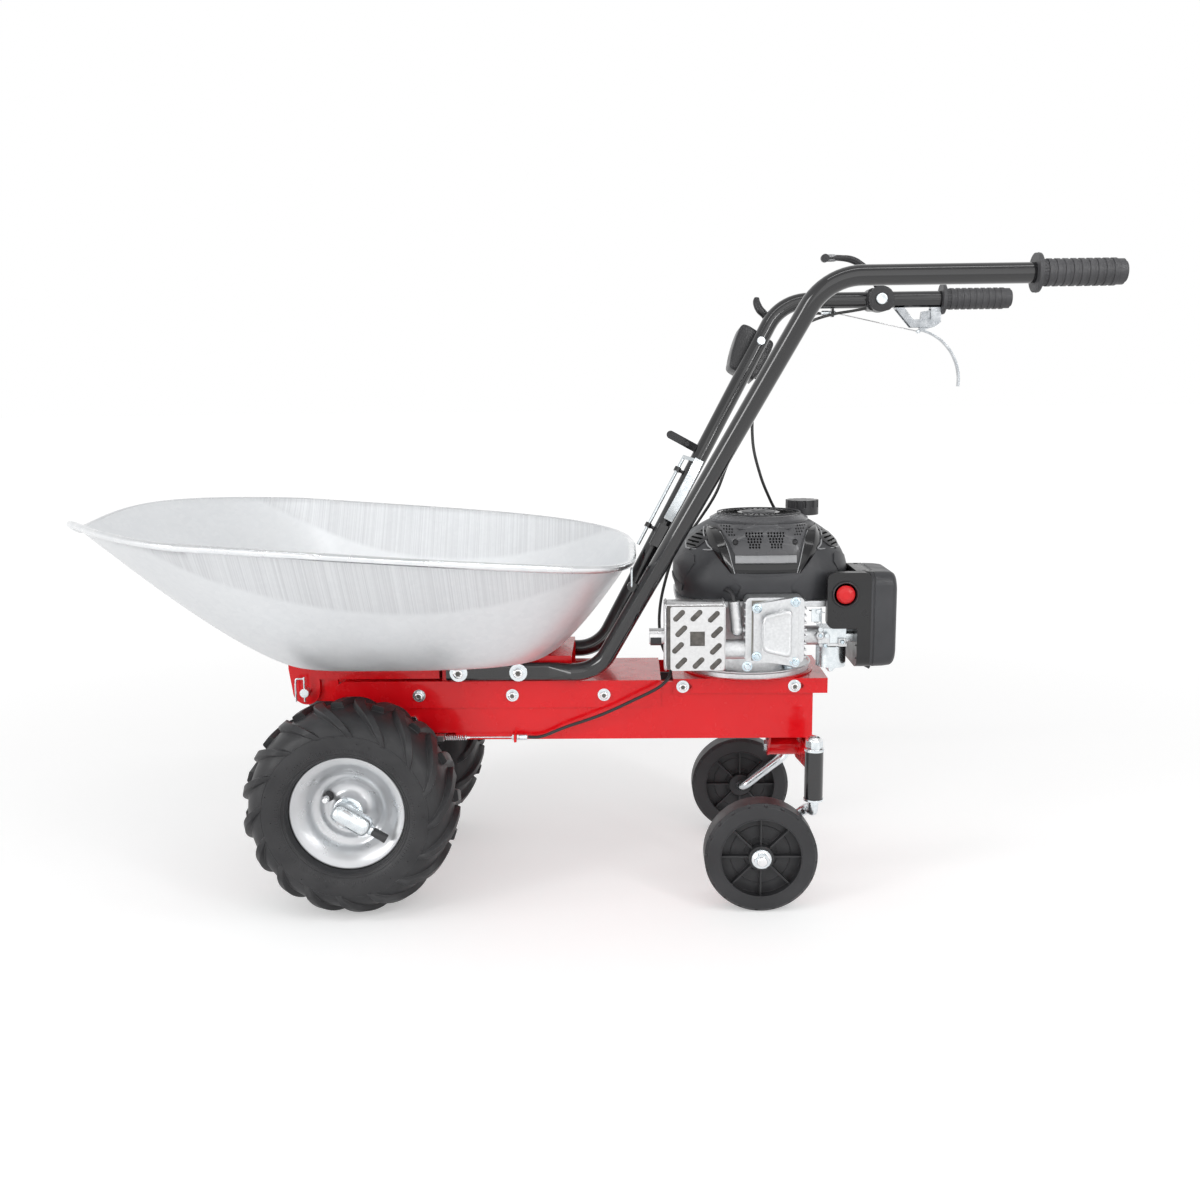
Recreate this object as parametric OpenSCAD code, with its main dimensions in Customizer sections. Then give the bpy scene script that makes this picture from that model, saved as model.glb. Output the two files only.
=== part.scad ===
// Motorised wheelbarrow with a tipping tub, two driven wheels and two rear casters.
// Nose of the tub towards -X, handles towards +X, ground at Z 0, sizes in millimetres.

/* [Overall] */
// Distance from the drive axle forward to the nose of the tub
nose_reach = 465; // [440:1:490]
// Distance from the drive axle back to the ends of the grips
grip_reach = 1097; // [1050:1:1160]
// Height of the handlebar tubes at the grips
handle_z = 938; // [900:1:980]
// Distance between the centres of the two grips
grip_span = 492; // [460:2:530]

/* [Drive wheels] */
// Diameter of a drive tyre over its lugs
tyre_d = 330; // [322:1:338]
// Width of a drive tyre
tyre_w = 125; // [115:1:130]
// Distance between the centre planes of the drive tyres
track = 324; // [320:2:340]
// Diameter over the rim flanges
rim_d = 177; // [170:1:182]
// Diameter of the drive axle
axle_d = 25; // [22:1:28]
// Number of lugs on each shoulder of a tyre
lugs = 16; // [12:1:18]

/* [Chassis] */
// Outside width of the chassis box
chassis_w = 156; // [150:2:162]
// Height of the chassis side plates
chassis_h = 93; // [88:1:100]
// Height of the chassis bottom edge above the ground
chassis_z = 242; // [238:1:248]
// Reach of the chassis ahead of the drive axle
chassis_fore = 40; // [36:1:46]
// Reach of the chassis behind the drive axle
chassis_aft = 716; // [700:1:735]
// Sheet thickness of the chassis
plate_t = 3; // [2.5:0.5:4]
// Sheet thickness of the belt cover
cover_t = 2.5; // [2:0.5:3]
// Thickness of the engine plate
bed_t = 5; // [4:0.5:6]

/* [Tub] */
// Overall length of the tub
tub_l = 905; // [880:1:930]
// Overall width of the tub
tub_w = 696; // [660:2:720]
// Depth of the tub from its front rim to its floor
tub_depth = 235; // [220:1:250]
// Sheet thickness of the tub
tub_sheet = 2; // [1.5:0.5:2.5]
// Radius of the rolled bead round the rim
bead_r = 4.5; // [3.5:0.5:5.5]

/* [Handlebars] */
// Diameter of the handlebar tubes
tube_d = 28; // [25:1:30]
// Wall of the handlebar tubes
tube_wall = 2; // [1.5:0.5:3]
// Length of a rubber grip
grip_l = 121; // [110:1:130]

/* [Engine] */
// Distance from the drive axle back to the crankshaft
crank_back = 619; // [612:1:626]
// Height of the engine from its base to the top of its cowl
engine_h = 242; // [238:1:250]
// Diameter of the crankshaft
crank_d = 25; // [20:1:28]

/* [Casters] */
// Diameter of a caster wheel
caster_d = 172; // [160:1:176]
// Width of a caster wheel
caster_w = 42; // [36:1:44]
// Distance between the two caster posts
caster_span = 344; // [340:2:370]
// Distance that a caster wheel trails its post
trail = 80; // [78:1:86]
// Diameter of the bent caster bar
caster_bar = 16; // [14:1:18]

/* [Hidden] */
$fn = 64;

// Clearances and the overrun of every cut
over = 5;
fit = 0.3;
run_fit = 0.05;
hole_fit = 0.25;
seat_gap = 0.1;
lap = 0.5;

// Main places
axle_x = (nose_reach - grip_reach) / 2;
axle_z = tyre_d / 2;
nose_x = axle_x - nose_reach;
grip_end_x = axle_x + grip_reach;
front_x = axle_x - chassis_fore;
rear_x = axle_x + chassis_aft;
chassis_top = chassis_z + chassis_h;
half_w = chassis_w / 2;
inner_w = half_w - plate_t;
cover_top = chassis_top + fit + cover_t;
bed_top = chassis_top + bed_t;
crank_x = axle_x + crank_back;

// Chassis details
lip_w = 15;
front_round = 22;
cross_w = 40;
bolt_d = 8;
bolt_head = 14;
bolt_head_h = 5.5;
washer_d = 20;
washer_t = 1.6;
nut_h = 4;

// Belt cover and engine plate
cover_drop = 41;
cover_back = 477;
cover_bolt_places = [94, 242, 387];
cover_bolt_drop = 20;
bed_fore = 496;
bed_aft = 738;
bed_drop = 24;
bed_bolt_places = [511, 686];
bed_bolt_drop = 12;
bed_slot = 10;
bed_hole_d = 66;

// Tub hinge
pin_d = 14;
pin_fore = 87;
pin_drop = 58;
ear_r = 22;
lug_r = 18;
lug_t = 8;
lug_in = 60;
clip_d = 3;
clip_reach = 26;
pin_tail = 14;

// Tub shape
floor_fore = 109;
floor_aft = 301;
floor_w = 370;
tub_mid = 45;
rim_mid = -176.5;
rim_fall = 68;
nose_dip = 44;
nose_dip_power = 30;
tail_dip = 12;
tail_dip_power = 10;
wall_power = 1.3;
nose_power = 1.55;
tail_power = 4;
floor_power = 3.4;
tub_steps = 64;
wall_shares = [0, 0.05, 0.13, 0.24, 0.38, 0.55, 0.75, 0.93];
bead_shares = [[0, -1.6], [1, -1.3], [1.9, -0.6], [2.1, 0.2], [1.4, 0.9], [0.4, 1]];

// Tub bracket
bracket_t = 3;
bracket_gap = 1;
bracket_fore = 114;
bracket_aft = 126;
bracket_lift = 3;

// Handle saddle and handle feet
saddle_fore = 131;
saddle_aft = 336;
saddle_h = 39;
foot_fore = 139;
foot_aft = 301;
foot_t = 14;
foot_h = 29;
foot_lift = 16;
foot_bolt_places = [159, 253];
foot_bolt_d = 10;
foot_washer_d = 28;
foot_washer_t = 2.5;
foot_head = 17;
foot_head_h = 6.5;

// Handlebar tubes
knee_back = 377;
knee_r = 60;
shoulder_back = 698;
shoulder_r = 80;
tube_start_back = 336;

// Grips
grip_wall = 3.2;
grip_flange_r = 26;
grip_flange_t = 6;
grip_rib = 1.2;
grip_ribs = 9;
grip_rib_share = 0.55;
grip_cap = 9;

// Release lever and rod on the right handlebar
rod_d = 6;
rod_off = 24;
rod_low_share = 0.275;
rod_high_share = 0.53;
rod_guide_shares = [0.33, 0.49];
guide_t = 8;
guide_w = 12;
release_share = 0.56;
release_off = 30;
release_t = 6;
release_l = 46;
release_h = 14;
release_pin_d = 8;
blade_w = 16;
blade_t = 2.5;
blade_low_share = 0.36;
blade_off = 24;
blade_bow = 10;
block_share = 0.315;
block_size = [20, 16, 40];

// Tub catch on the left handlebar
catch_share = 0.225;
catch_off = 20;
catch_tab_t = 5;
catch_tab_w = 14;
catch_wire = 4;
catch_l = 27;
catch_hook = 8;

// Console and gear lever on the right handlebar
console_share = 0.85;
console_l = 80;
console_w = 54;
console_t = 44;
console_slot = 11;
console_slot_w = 40;
console_wall = 5;
gear_pin_d = 8;
gear_t = 8;
gear_w = 11;
gear_l = 78;
gear_bend = 16;
gear_knob = 15;
console_bolt_d = 6;
console_bolt_up = 18;

// Throttle on the right handlebar
throttle_back = 867;
throttle_block = [44, 36, 38];
throttle_disc = 44;
throttle_disc_t = 9;
throttle_arm_d = 8;
throttle_screw_d = 18;
throttle_tip = [-98, 76];
throttle_knee = [-42, 70];
throttle_pad = 14;

// Drive lever under the right grip
lever_back = 962;
lever_drop = 26;
lever_cheek = 2.5;
lever_inside = 13;
lever_t = 11;
lever_pin_d = 6;
bracket_l = 80;
bracket_h = 34;
bracket_pivot_share = 0.83;
bracket_shares = [[0, 0], [0.2, 0], [0.4, 0.6], [0.78, 0.6], [0.78, 0], [1, 0], [1, 0.75],
  [0.86, 1], [0.36, 1]];
blade_arc_r = 91;
blade_arc_start = -6;
blade_arc_end = 78;
blade_arc_off = [-41, -115];
lever_blade_t = 3;
lever_plate_shares = [[-0.2, 0.05], [0, 0.08], [0.1, 0], [-0.04, -0.24], [-0.24, -0.32]];
wire_end = [-23.5, -29];
lever_scale = 95;

// Cables
cable_d = 5;
wire_d = 2;
cable_sides = 8;
cable_split = 3;
drive_route = [[452, 246, 916], [440, 245, 914], [418, 234, 892], [385, 214, 845], [345, 180, 780],
  [305, 130, 715], [278, 95, 665], [258, 92, 615], [228, 106, 565], [190, 94, 515], [170, 55, 465],
  [161, 5, 425], [163, -45, 390], [176, -86, 358], [162, -101, 335], [115, -102, 310],
  [64, -99, 286], [10, -94, 266], [-28, -90, 250], [-50, -90, 249]];
throttle_route = [[529, 234, 923], [505, 233, 919], [468, 230, 913], [428, 221, 900], [385, 198, 872],
  [348, 162, 825], [324, 122, 765], [320, 98, 700], [333, 96, 645], [350, 106, 605], [370, 122, 565],
  [378, 134, 520], [368, 136, 485], [354, 124, 466], [350, 108, 462]];
adjuster_d = 10;
adjuster_l = 26;
adjuster_nut = 13;
adjuster_nut_h = 5;
tab_t = 4;
cable_off = 12;
cable_lift = 7;
cable_tab_back = 244;
tube_tab_back = 786;
tube_tab_drop = 22;

// Spring between the cable and the tensioner
spring_d = 9;
spring_wire = 1.6;
spring_turns = 9;
spring_l = 33;
spring_sides = 6;
spring_rings = 8;
ferrule_t = 2;

// Belt drive inside the chassis
belt_drop = 20;
belt_h = 12;
belt_t = 8;
big_r = 58;
small_r = 34;
pulley_side = 3;
pulley_rim = 6;
shaft_d = 18;
gear_pulley_back = 76;

// Tensioner
tension_back = 126;
tension_y = -40;
tension_pin = 12;
tension_hub = 22;
roller_r = 15;
roller_place = [90, 62];
arm_t = 4;
arm_w = 14;
arm_reach = 51;
arm_slot_h = 8;
arm_slot_l = 46;

// Gearbox
box_r = 58;
box_half = 58;
box_fore = 34;
box_aft = 101;
box_drop = 35;
box_boss_d = 28;
box_boss_places = [20, 84];
box_boss_drop = 60;
box_rib = 6;
box_rib_r = 66;
box_bite = 16;

// Drive wheel details
lug_h = 9;
lug_w = 17;
lug_skew = 30;
lug_gap = 3;
tread_round = 2.6;
bead_seat = 12.5;
rim_t = 3;
rim_half = 45;
well_depth = 10;
well_half = 24;
hub_r = 20;
hub_in = 40;
hub_out = 36;
web_t = 4;
web_y = 12;
web_step = 7;
web_step_r = 44;
tyre_wall = 8;
carcass_arc = 125;
inner_arc = 140;
lug_arc = 80;
axle_step = 34;
lock_r = 23;
lock_l = 33;
lock_tube = 22;
lock_reach = 46;
lock_angle = 32;
lock_pin_d = 8;
lock_bite = 6;
lock_knob_l = 24;
lock_knob_d = 13;

// Casters
post_back = 705;
post_d = 28;
post_drop = 67;
post_h = 74;
beam_t = 8;
beam_pin_drop = 36;
beam_pin_d = 12;
beam_boss_d = 30;
beam_front = 657;
beam_low = 20;
beam_rise = 16;
beam_tip = 28;
beam_lip = 9;
beam_flat = 90;
beam_lug_w = 44;
beam_lug_low = 16;
bar_drop = 25;
bar_in = 36;
bar_bend = 16;
caster_washer = 30;
caster_washer_t = 3;
caster_nut = 26;
caster_nut_h = 14;
axle_nut = 24;
axle_nut_h = 9;
axle_flange_t = 3;
tread_t = 24;
caster_web = 6;
caster_hub_r = 19;
caster_hub_in = 2;
caster_ribs = 8;
caster_rib_t = 2.5;
tread_notches = 20;
notch = 5;

// Engine
base_r = 100;
base_t = 10;
case_r = 78;
case_h = 118;
deck_t = 9;
deck_back = 636;
deck_half = [134, 107];
deck_round = 50;
barrel_x = 646;
barrel_up = 90;
fin_half = [44, 42];
fin_count = 4;
core_half = 28;
fin_t = 3;
fin_pitch = 8;
head_y = 113;
head_l = 37;
head_half = [44, 50];
port_d = 30;
port_gap = 22;
cowl_sheet = 3;
cowl_steps = 48;
cowl_half = [137, 112];
cowl_ring_shares = [[0, 0.964, 0.946], [0.287, 1, 1], [0.574, 0.956, 0.964], [0.809, 0.818, 0.875],
  [0.94, 0.672, 0.768], [1, 0.584, 0.705]];
cowl_powers = [3, 3, 2.8, 2.5, 2.2, 2];
dome_r = 78;
dome_h = 12;
dome_lip = 2.5;
dome_top_r = 58;
dome_holes = 5;
dome_hole_d = 5;
dome_hole_pitch = 7.5;
dome_hole_angles = [-115, -65, 65, 115, 180, 0];
cover_poly_shares = [[-0.5, -0.4], [0.5, -0.5], [0.5, 0.5], [-0.5, 0.4]];
rocker_size = [66, 106];
rocker_t = 14;
rocker_panel_shares = [[-0.34, -0.26], [0.36, -0.4], [0.36, 0.26], [0.1, 0.34], [-0.34, 0.14]];
rocker_panel_t = 12;
rocker_screw_share = 0.43;
screw_d = 5;
screw_head = 9;
screw_head_h = 5;
screw_bite = 8;
muffler_x = 480;
muffler_size = [92, 42, 106];
muffler_y = 152;
muffler_up = 28;
muffler_round = 14;
outlet_d = 24;
outlet_l = 22;
outlet_up = 79;
outlet_wall = 2;
guard_t = 2;
guard_gap = 5;
guard_size = [81, 98];
guard_fore = 489;
guard_up = 31;
guard_slot_d = 8;
guard_slot_l = 22;
guard_window = 22;
guard_slot_shares = [[-0.34, 0.36], [-0.02, 0.36], [0.3, 0.34], [-0.3, 0.12], [0.36, 0.1], [-0.36, -0.14],
  [0.34, -0.16], [-0.3, -0.38], [0.02, -0.38], [0.34, -0.4]];
boot_low = [591, -131, 88];
boot_high = [586, -131, 132];
boot_d = 18;
boot_ball = 20;
plug_d = 10;
carb_x = 741;
carb_y = -86;
bowl_d = 46;
bowl_up = 22;
bowl_h = 33;
carb_size = [40, 40, 29];
drain_d = 14;
drain_h = 7;
filter_x = 774;
filter_front = 126;
filter_back = 0;
filter_up = 24;
filter_h = 149;
filter_base_t = 20;
filter_plate_x = 728;
filter_plate_t = 17;
filter_plate_up = 87;
filter_cover_t = 41;
filter_round = 22;
primer_x = 755;
primer_up = 140;
primer_r = 14;
primer_depth = 9;
primer_out = 8;
primer_shares = [[0, 0], [1, 0], [1, 0.6], [0.8, 0.85], [0.4, 1], [0, 1]];
cap_x = 716;
cap_y = 75;
cap_r = 27;
cap_h = 24;
neck_r = 20;
neck_h = 55;
cap_notches = 12;
handle_stem_d = 8;
handle_sink = 4.7;
handle_grip_d = 18;
handle_grip_l = 70;
handle_out = 24;
handle_x = 636;
handle_up = 200;
flywheel_r = 84;
flywheel_lift = 7;
flywheel_t = 20;
engine_bolt_r = 86;

// Points along a handlebar, right side
foot_z = cover_top + foot_lift;
tube_y = half_w - plate_t + foot_t;
tube_path = [
  [axle_x + tube_start_back, tube_y, foot_z],
  [axle_x + knee_back, tube_y, foot_z],
  [axle_x + shoulder_back, grip_span / 2, handle_z],
  [grip_end_x - grip_cap, grip_span / 2, handle_z]
];
slope = unit(tube_path[2] - tube_path[1]);
ahead = unit([-slope[2], 0, slope[0]]);
inward = cross(slope, ahead);

function unit(v) = v / norm(v);
function along(share) = tube_path[1] + share * (tube_path[2] - tube_path[1]);
function turn(a, b, c) = acos(unit(b - a) * unit(c - b));
function setback(a, b, c, r) = r * tan(turn(a, b, c) / 2);
function sgn_pow(v, p) = sign(v) * pow(abs(v), p);

// Straight round bar between two points
module rod(a, b, d) {
  v = b - a;
  translate(a)
    rotate([0, acos(v[2] / norm(v)), atan2(v[1], v[0])])
      cylinder(d = d, h = norm(v));
}

// Quarter-like bend of a round bar at point b
module elbow(a, b, c, r, d) {
  d1 = unit(b - a);
  d2 = unit(c - b);
  e = unit(d2 - (d1 * d2) * d1);
  w = cross(d1, e);
  m = b - d1 * setback(a, b, c, r) + r * e;
  multmatrix([
    [-e[0], d1[0], w[0], m[0]],
    [-e[1], d1[1], w[1], m[1]],
    [-e[2], d1[2], w[2], m[2]],
    [0, 0, 0, 1]
  ])
    rotate_extrude(angle = turn(a, b, c))
      translate([r, 0])
        circle(d = d);
}

// Round bar bent at each inner point of a path, with one bend radius per inner point
module bent_bar(path, radii, d) {
  last = len(path) - 1;
  for (i = [0 : last - 1]) {
    way = unit(path[i + 1] - path[i]);
    s = i == 0 ? 0 : setback(path[i - 1], path[i], path[i + 1], radii[i - 1]);
    e = i == last - 1 ? 0 : setback(path[i], path[i + 1], path[i + 2], radii[i]);
    rod(path[i] + way * max(0, s - lap), path[i + 1] - way * max(0, e - lap), d);
  }
  for (i = [1 : last - 1])
    elbow(path[i - 1], path[i], path[i + 1], radii[i - 1], d + seat_gap);
}

// Closed skin through rings of points, from the first ring to the last
module loft(rings) {
  n = len(rings[0]);
  m = len(rings);
  sides = [for (k = [0 : m - 2], i = [0 : n - 1])
    let (j = (i + 1) % n)
    each [[k * n + i, k * n + n + i, k * n + n + j], [k * n + i, k * n + n + j, k * n + j]]];
  ends = [[for (i = [0 : n - 1]) i], [for (i = [n - 1 : -1 : 0]) (m - 1) * n + i]];
  polyhedron(points = [for (r = rings) each r], faces = concat(sides, ends));
}

// Smooth points through a hand-chosen route
function spline_point(p, i, u) =
  let (a = p[max(i - 1, 0)], b = p[i], c = p[i + 1], d = p[min(i + 2, len(p) - 1)])
  0.5 * (2 * b + (c - a) * u + (2 * a - 5 * b + 4 * c - d) * u * u
    + (3 * b - a - 3 * c + d) * u * u * u);
function smooth(p, split) = concat(
  [for (i = [0 : len(p) - 2], k = [0 : split - 1]) spline_point(p, i, k / split)],
  [p[len(p) - 1]]);
function heading(p, i) = unit(p[min(i + 1, len(p) - 1)] - p[max(i - 1, 0)]);
function cord_ring(p, i, d, n) =
  let (h = heading(p, i), s = unit(cross(h, [0.31, 0.9, 0.17])), t = cross(h, s))
  [for (k = [0 : n - 1]) p[i] + d / 2 * (cos(k * 360 / n) * s + sin(k * 360 / n) * t)];

// One round cord along a route
module cord(route, d, split) {
  p = smooth(route, split);
  loft([for (i = [0 : len(p) - 1]) cord_ring(p, i, d, cable_sides)]);
}

// Rectangle with round corners, centred
module round_rect(w, h, r) {
  square([w - 2 * r, h], center = true);
  square([w, h - 2 * r], center = true);
  for (sx = [-1, 1], sy = [-1, 1])
    translate([sx * (w / 2 - r), sy * (h / 2 - r)])
      circle(r = r);
}

// Slot with round ends, centred, along X
module slot(l, d) {
  square([l - d, d], center = true);
  for (s = [-1, 1])
    translate([s * (l - d) / 2, 0])
      circle(d = d);
}

// Revolve a profile of [radius, y] points about the Y axis
module revolve_y(profile) {
  rotate([-90, 0, 0])
    rotate_extrude()
      polygon(profile);
}

// Extrude an XZ outline along Y, from y to y + l
module along_y(y, l) {
  translate([0, y + l, 0])
    rotate([90, 0, 0])
      linear_extrude(l)
        children();
}

// Extrude a YZ outline along X, from x to x + l
module along_x(x, l) {
  translate([x, 0, 0])
    rotate([90, 0, 90])
      linear_extrude(l)
        children();
}

// Round hole or bar along Y, centred on an XZ place
module across(x, z, d, y0, y1) {
  translate([x, y0, z])
    rotate([-90, 0, 0])
      cylinder(d = d, h = y1 - y0);
}

// Copy to both sides of the machine
module both_sides() {
  children();
  mirror([0, 1, 0])
    children();
}

// Bolt along Y with its washer outside and its nut inside, on the right side
module side_bolt(x, z, out, inside, d, head, head_h, washer, washer_h) {
  across(x, z, d, inside - nut_h, out + washer_h);
  across(x, z, washer, out, out + washer_h);
  across(x, z, head, out + washer_h, out + washer_h + head_h, $fn = 6);
  across(x, z, head, inside - nut_h, inside, $fn = 6);
}

// Places shared between nodes
belt_z = chassis_top - belt_drop;
box_top = chassis_top - box_drop;
beam_pin_z = chassis_z - beam_pin_drop;
post_low = chassis_z - post_drop;
cable_z = chassis_z + cable_lift;
cable_y = half_w + cable_off;
cable_tab_x = axle_x + cable_tab_back;
deck_z = bed_top + case_h;
cowl_low = deck_z + deck_t;
cowl_top = bed_top + engine_h;
barrel_z = bed_top + barrel_up;
pin_x = axle_x - pin_fore;
tub_floor_z = cover_top + saddle_h + bracket_lift + seat_gap;
pin_z = tub_floor_z - pin_drop;
cover_out = half_w + fit + cover_t;
bed_out = half_w + fit + bed_t;
cover_bolts = [for (p = cover_bolt_places) [axle_x + p, chassis_top - cover_bolt_drop]];
bed_bolts = [for (p = bed_bolt_places) [axle_x + p, bed_top - bed_bolt_drop]];
box_bolts = [for (p = box_boss_places) [axle_x + p, chassis_top - box_boss_drop]];
foot_bolt_at = [for (p = foot_bolt_places) [axle_x + p, foot_z]];
console_at = along(console_share) - inward * (tube_d / 2 + fit + console_t / 2);
tension_at = [axle_x + tension_back, tension_y];
spring_front = tension_at[0] + arm_w / 2;
spring_back = spring_front + spring_l;
belt_big = axle_x + gear_pulley_back;
post_x = axle_x + post_back;
post_y = caster_span / 2;
beam_x = axle_x + beam_front;
release_at = along(release_share) + ahead * release_off;
catch_at = along(catch_share) + ahead * catch_off;
throttle_x = axle_x + throttle_back;
lever_x = axle_x + lever_back;
lever_z = handle_z - lever_drop;
lever_y = grip_span / 2;
tube_tab_x = axle_x + tube_tab_back;
deck_x = axle_x + deck_back;
head_x = axle_x + barrel_x;
guard_x = axle_x + guard_fore + guard_size[0] / 2;
guard_z = bed_top + guard_up + guard_size[1] / 2;
rocker_y = head_y + head_l;

// Side outline of the chassis box
module chassis_side(grow) {
  difference() {
    translate([front_x - grow, chassis_z])
      square([rear_x - front_x + grow, chassis_h + grow]);
    translate([front_x - grow, chassis_top + grow - front_round])
      difference() {
        translate([-over, 0])
          square([front_round + over, front_round + over]);
        translate([front_round, 0])
          circle(r = front_round);
      }
  }
}

// Open box of folded plate with lips, hinge lugs, caster lugs and the tensioner pin
module chassis_frame() color("red") {
  difference() {
    union() {
      along_y(-half_w, chassis_w)
        chassis_side(0);
      both_sides()
        along_y(lug_in, lug_t)
          hinge_lug();
    }
    translate([front_x + plate_t, -inner_w, chassis_z + plate_t])
      cube([rear_x - front_x - 2 * plate_t, 2 * inner_w, chassis_h]);
    translate([front_x + plate_t, lip_w - inner_w, chassis_z - over])
      cube([rear_x - front_x - 2 * plate_t, 2 * (inner_w - lip_w), chassis_h]);
    across(pin_x, pin_z, pin_d + 2 * run_fit, -half_w, half_w);
    for (b = concat(cover_bolts, bed_bolts, box_bolts))
      across(b[0], b[1], bolt_d + 2 * hole_fit, -half_w - over, half_w + over);
    translate([tension_at[0] - arm_slot_l / 2, -half_w - over, cable_z - arm_slot_h / 2])
      cube([arm_slot_l, plate_t + 2 * over, arm_slot_h]);
  }
  cross_strap();
  caster_lugs();
  cable_tab();
}

// Lug ahead of the chassis that carries the tub hinge pin
module hinge_lug() {
  translate([pin_x, pin_z])
    circle(r = lug_r);
  translate([pin_x, pin_z - lug_r])
    square([front_x + plate_t - pin_x, 2 * lug_r]);
}

// Strap across the chassis bottom with the pin that the tensioner turns on
module cross_strap() {
  translate([tension_at[0] - cross_w / 2, -inner_w, chassis_z])
    cube([cross_w, 2 * inner_w, plate_t]);
  translate([tension_at[0], tension_at[1], chassis_z])
    cylinder(d = tension_pin, h = belt_z - belt_h - chassis_z);
}

// Two hanging lugs that hold the pivot bolt of the caster beam
module caster_lugs() {
  for (x = [beam_x - plate_t, rear_x - plate_t])
    difference() {
      along_x(x, plate_t) {
        translate([0, beam_pin_z])
          circle(r = beam_lug_low);
        polygon([
          [-beam_lug_low, beam_pin_z], [beam_lug_low, beam_pin_z],
          [beam_lug_w, chassis_z + plate_t], [-beam_lug_w, chassis_z + plate_t]
        ]);
      }
      rod([x - over, 0, beam_pin_z], [x + plate_t + over, 0, beam_pin_z],
        beam_pin_d + 2 * hole_fit);
    }
  translate([beam_x - plate_t, -inner_w, chassis_z])
    cube([plate_t, 2 * inner_w, plate_t]);
}

// Small welded tab for the drive cable, on the left side
module cable_tab() {
  difference() {
    translate([cable_tab_x, -cable_y - adjuster_nut / 2, chassis_z])
      cube([tab_t, cable_y + adjuster_nut / 2 - half_w, adjuster_nut]);
    rod([cable_tab_x - over, -cable_y, cable_z], [cable_tab_x + tab_t + over, -cable_y, cable_z],
      adjuster_d / 2 + 2 * hole_fit);
  }
}

// Channel on top of the belt cover that the handle feet bolt to
module handle_saddle() color("red")
  difference() {
    translate([axle_x + saddle_fore, -inner_w, cover_top])
      cube([saddle_aft - saddle_fore, 2 * inner_w, saddle_h]);
    translate([axle_x + saddle_fore - over, plate_t - inner_w, cover_top - plate_t])
      cube([saddle_aft - saddle_fore + 2 * over, 2 * (inner_w - plate_t), saddle_h]);
    for (b = foot_bolt_at)
      across(b[0], b[1], foot_bolt_d + 2 * hole_fit, -half_w, half_w);
  }

// Folded lid over the belt, with a round front corner
module belt_cover() color("red")
  difference() {
    intersection() {
      along_y(-cover_out, 2 * cover_out)
        chassis_side(fit + cover_t);
      translate([front_x - over, -half_w - over, chassis_top - cover_drop])
        cube([cover_back + chassis_fore + over, chassis_w + 2 * over, chassis_h]);
    }
    translate([cover_t, 0, -cover_t])
      along_y(-half_w - fit, chassis_w + 2 * fit)
        chassis_side(fit + cover_t);
    translate([front_x - fit, -half_w - fit, chassis_z])
      cube([rear_x - front_x, chassis_w + 2 * fit, chassis_h - front_round]);
    for (s = [-1, 1])
      translate([front_x - 2 * cover_t, s * (lug_in + lug_t / 2) - lug_t / 2 - fit, chassis_z])
        cube([2 * cover_t + plate_t + fit, lug_t + 2 * fit, pin_z + lug_r + fit - chassis_z]);
    for (b = cover_bolts)
      across(b[0], b[1], bolt_d + 2 * hole_fit, -half_w - 2 * over, half_w + 2 * over);
  }

// Folded bed that carries the engine, with slots to tighten the belt
module engine_plate() color("red")
  difference() {
    translate([axle_x + bed_fore, -bed_out, bed_top - bed_drop])
      cube([bed_aft - bed_fore, 2 * bed_out, bed_drop]);
    translate([axle_x + bed_fore - over, -half_w - fit, chassis_top - bed_drop])
      cube([bed_aft - bed_fore + 2 * over, chassis_w + 2 * fit, bed_drop]);
    for (b = bed_bolts)
      translate([b[0] + bed_slot / 2, 0, b[1]])
        along_y(-bed_out - over, 2 * (bed_out + over))
          slot(bolt_d + bed_slot + 2 * hole_fit, bolt_d + 2 * hole_fit);
    translate([crank_x, 0, chassis_top - over])
      cylinder(d = bed_hole_d, h = bed_t + 2 * over);
    engine_bolt_holes();
  }

// Holes for the four bolts under the engine base
module engine_bolt_holes() {
  for (a = [45 : 90 : 315])
    translate([crank_x + engine_bolt_r * cos(a), engine_bolt_r * sin(a), chassis_top - over])
      cylinder(d = bolt_d + 2 * hole_fit, h = bed_t + base_t + 2 * over);
}

// Cast gearbox hung between the chassis plates, with the axle bore low down
module gearbox() color("silver")
  difference() {
    union() {
      along_y(-box_half, 2 * box_half) {
        translate([axle_x, axle_z])
          circle(r = box_r);
        polygon([
          [axle_x - box_r, axle_z], [axle_x + box_r, axle_z],
          [axle_x + box_aft, chassis_z], [axle_x + box_aft, box_top],
          [axle_x - box_fore, box_top], [axle_x - box_fore, chassis_z]
        ]);
      }
      for (s = [-1, 0, 1])
        along_y(s * box_half / 2 - box_rib / 2, box_rib)
          translate([axle_x, axle_z])
            circle(r = box_rib_r);
      for (b = box_bolts)
        across(b[0], b[1], box_boss_d, -inner_w, inner_w);
    }
    across(axle_x, axle_z, axle_d + 2 * run_fit, -half_w, half_w);
    translate([belt_big, 0, box_top - box_r / 2])
      cylinder(d = shaft_d + 2 * run_fit, h = box_r);
    both_sides()
      for (b = box_bolts)
        across(b[0], b[1], bolt_d + 2 * hole_fit, inner_w - box_bite - fit, half_w);
  }

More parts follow.
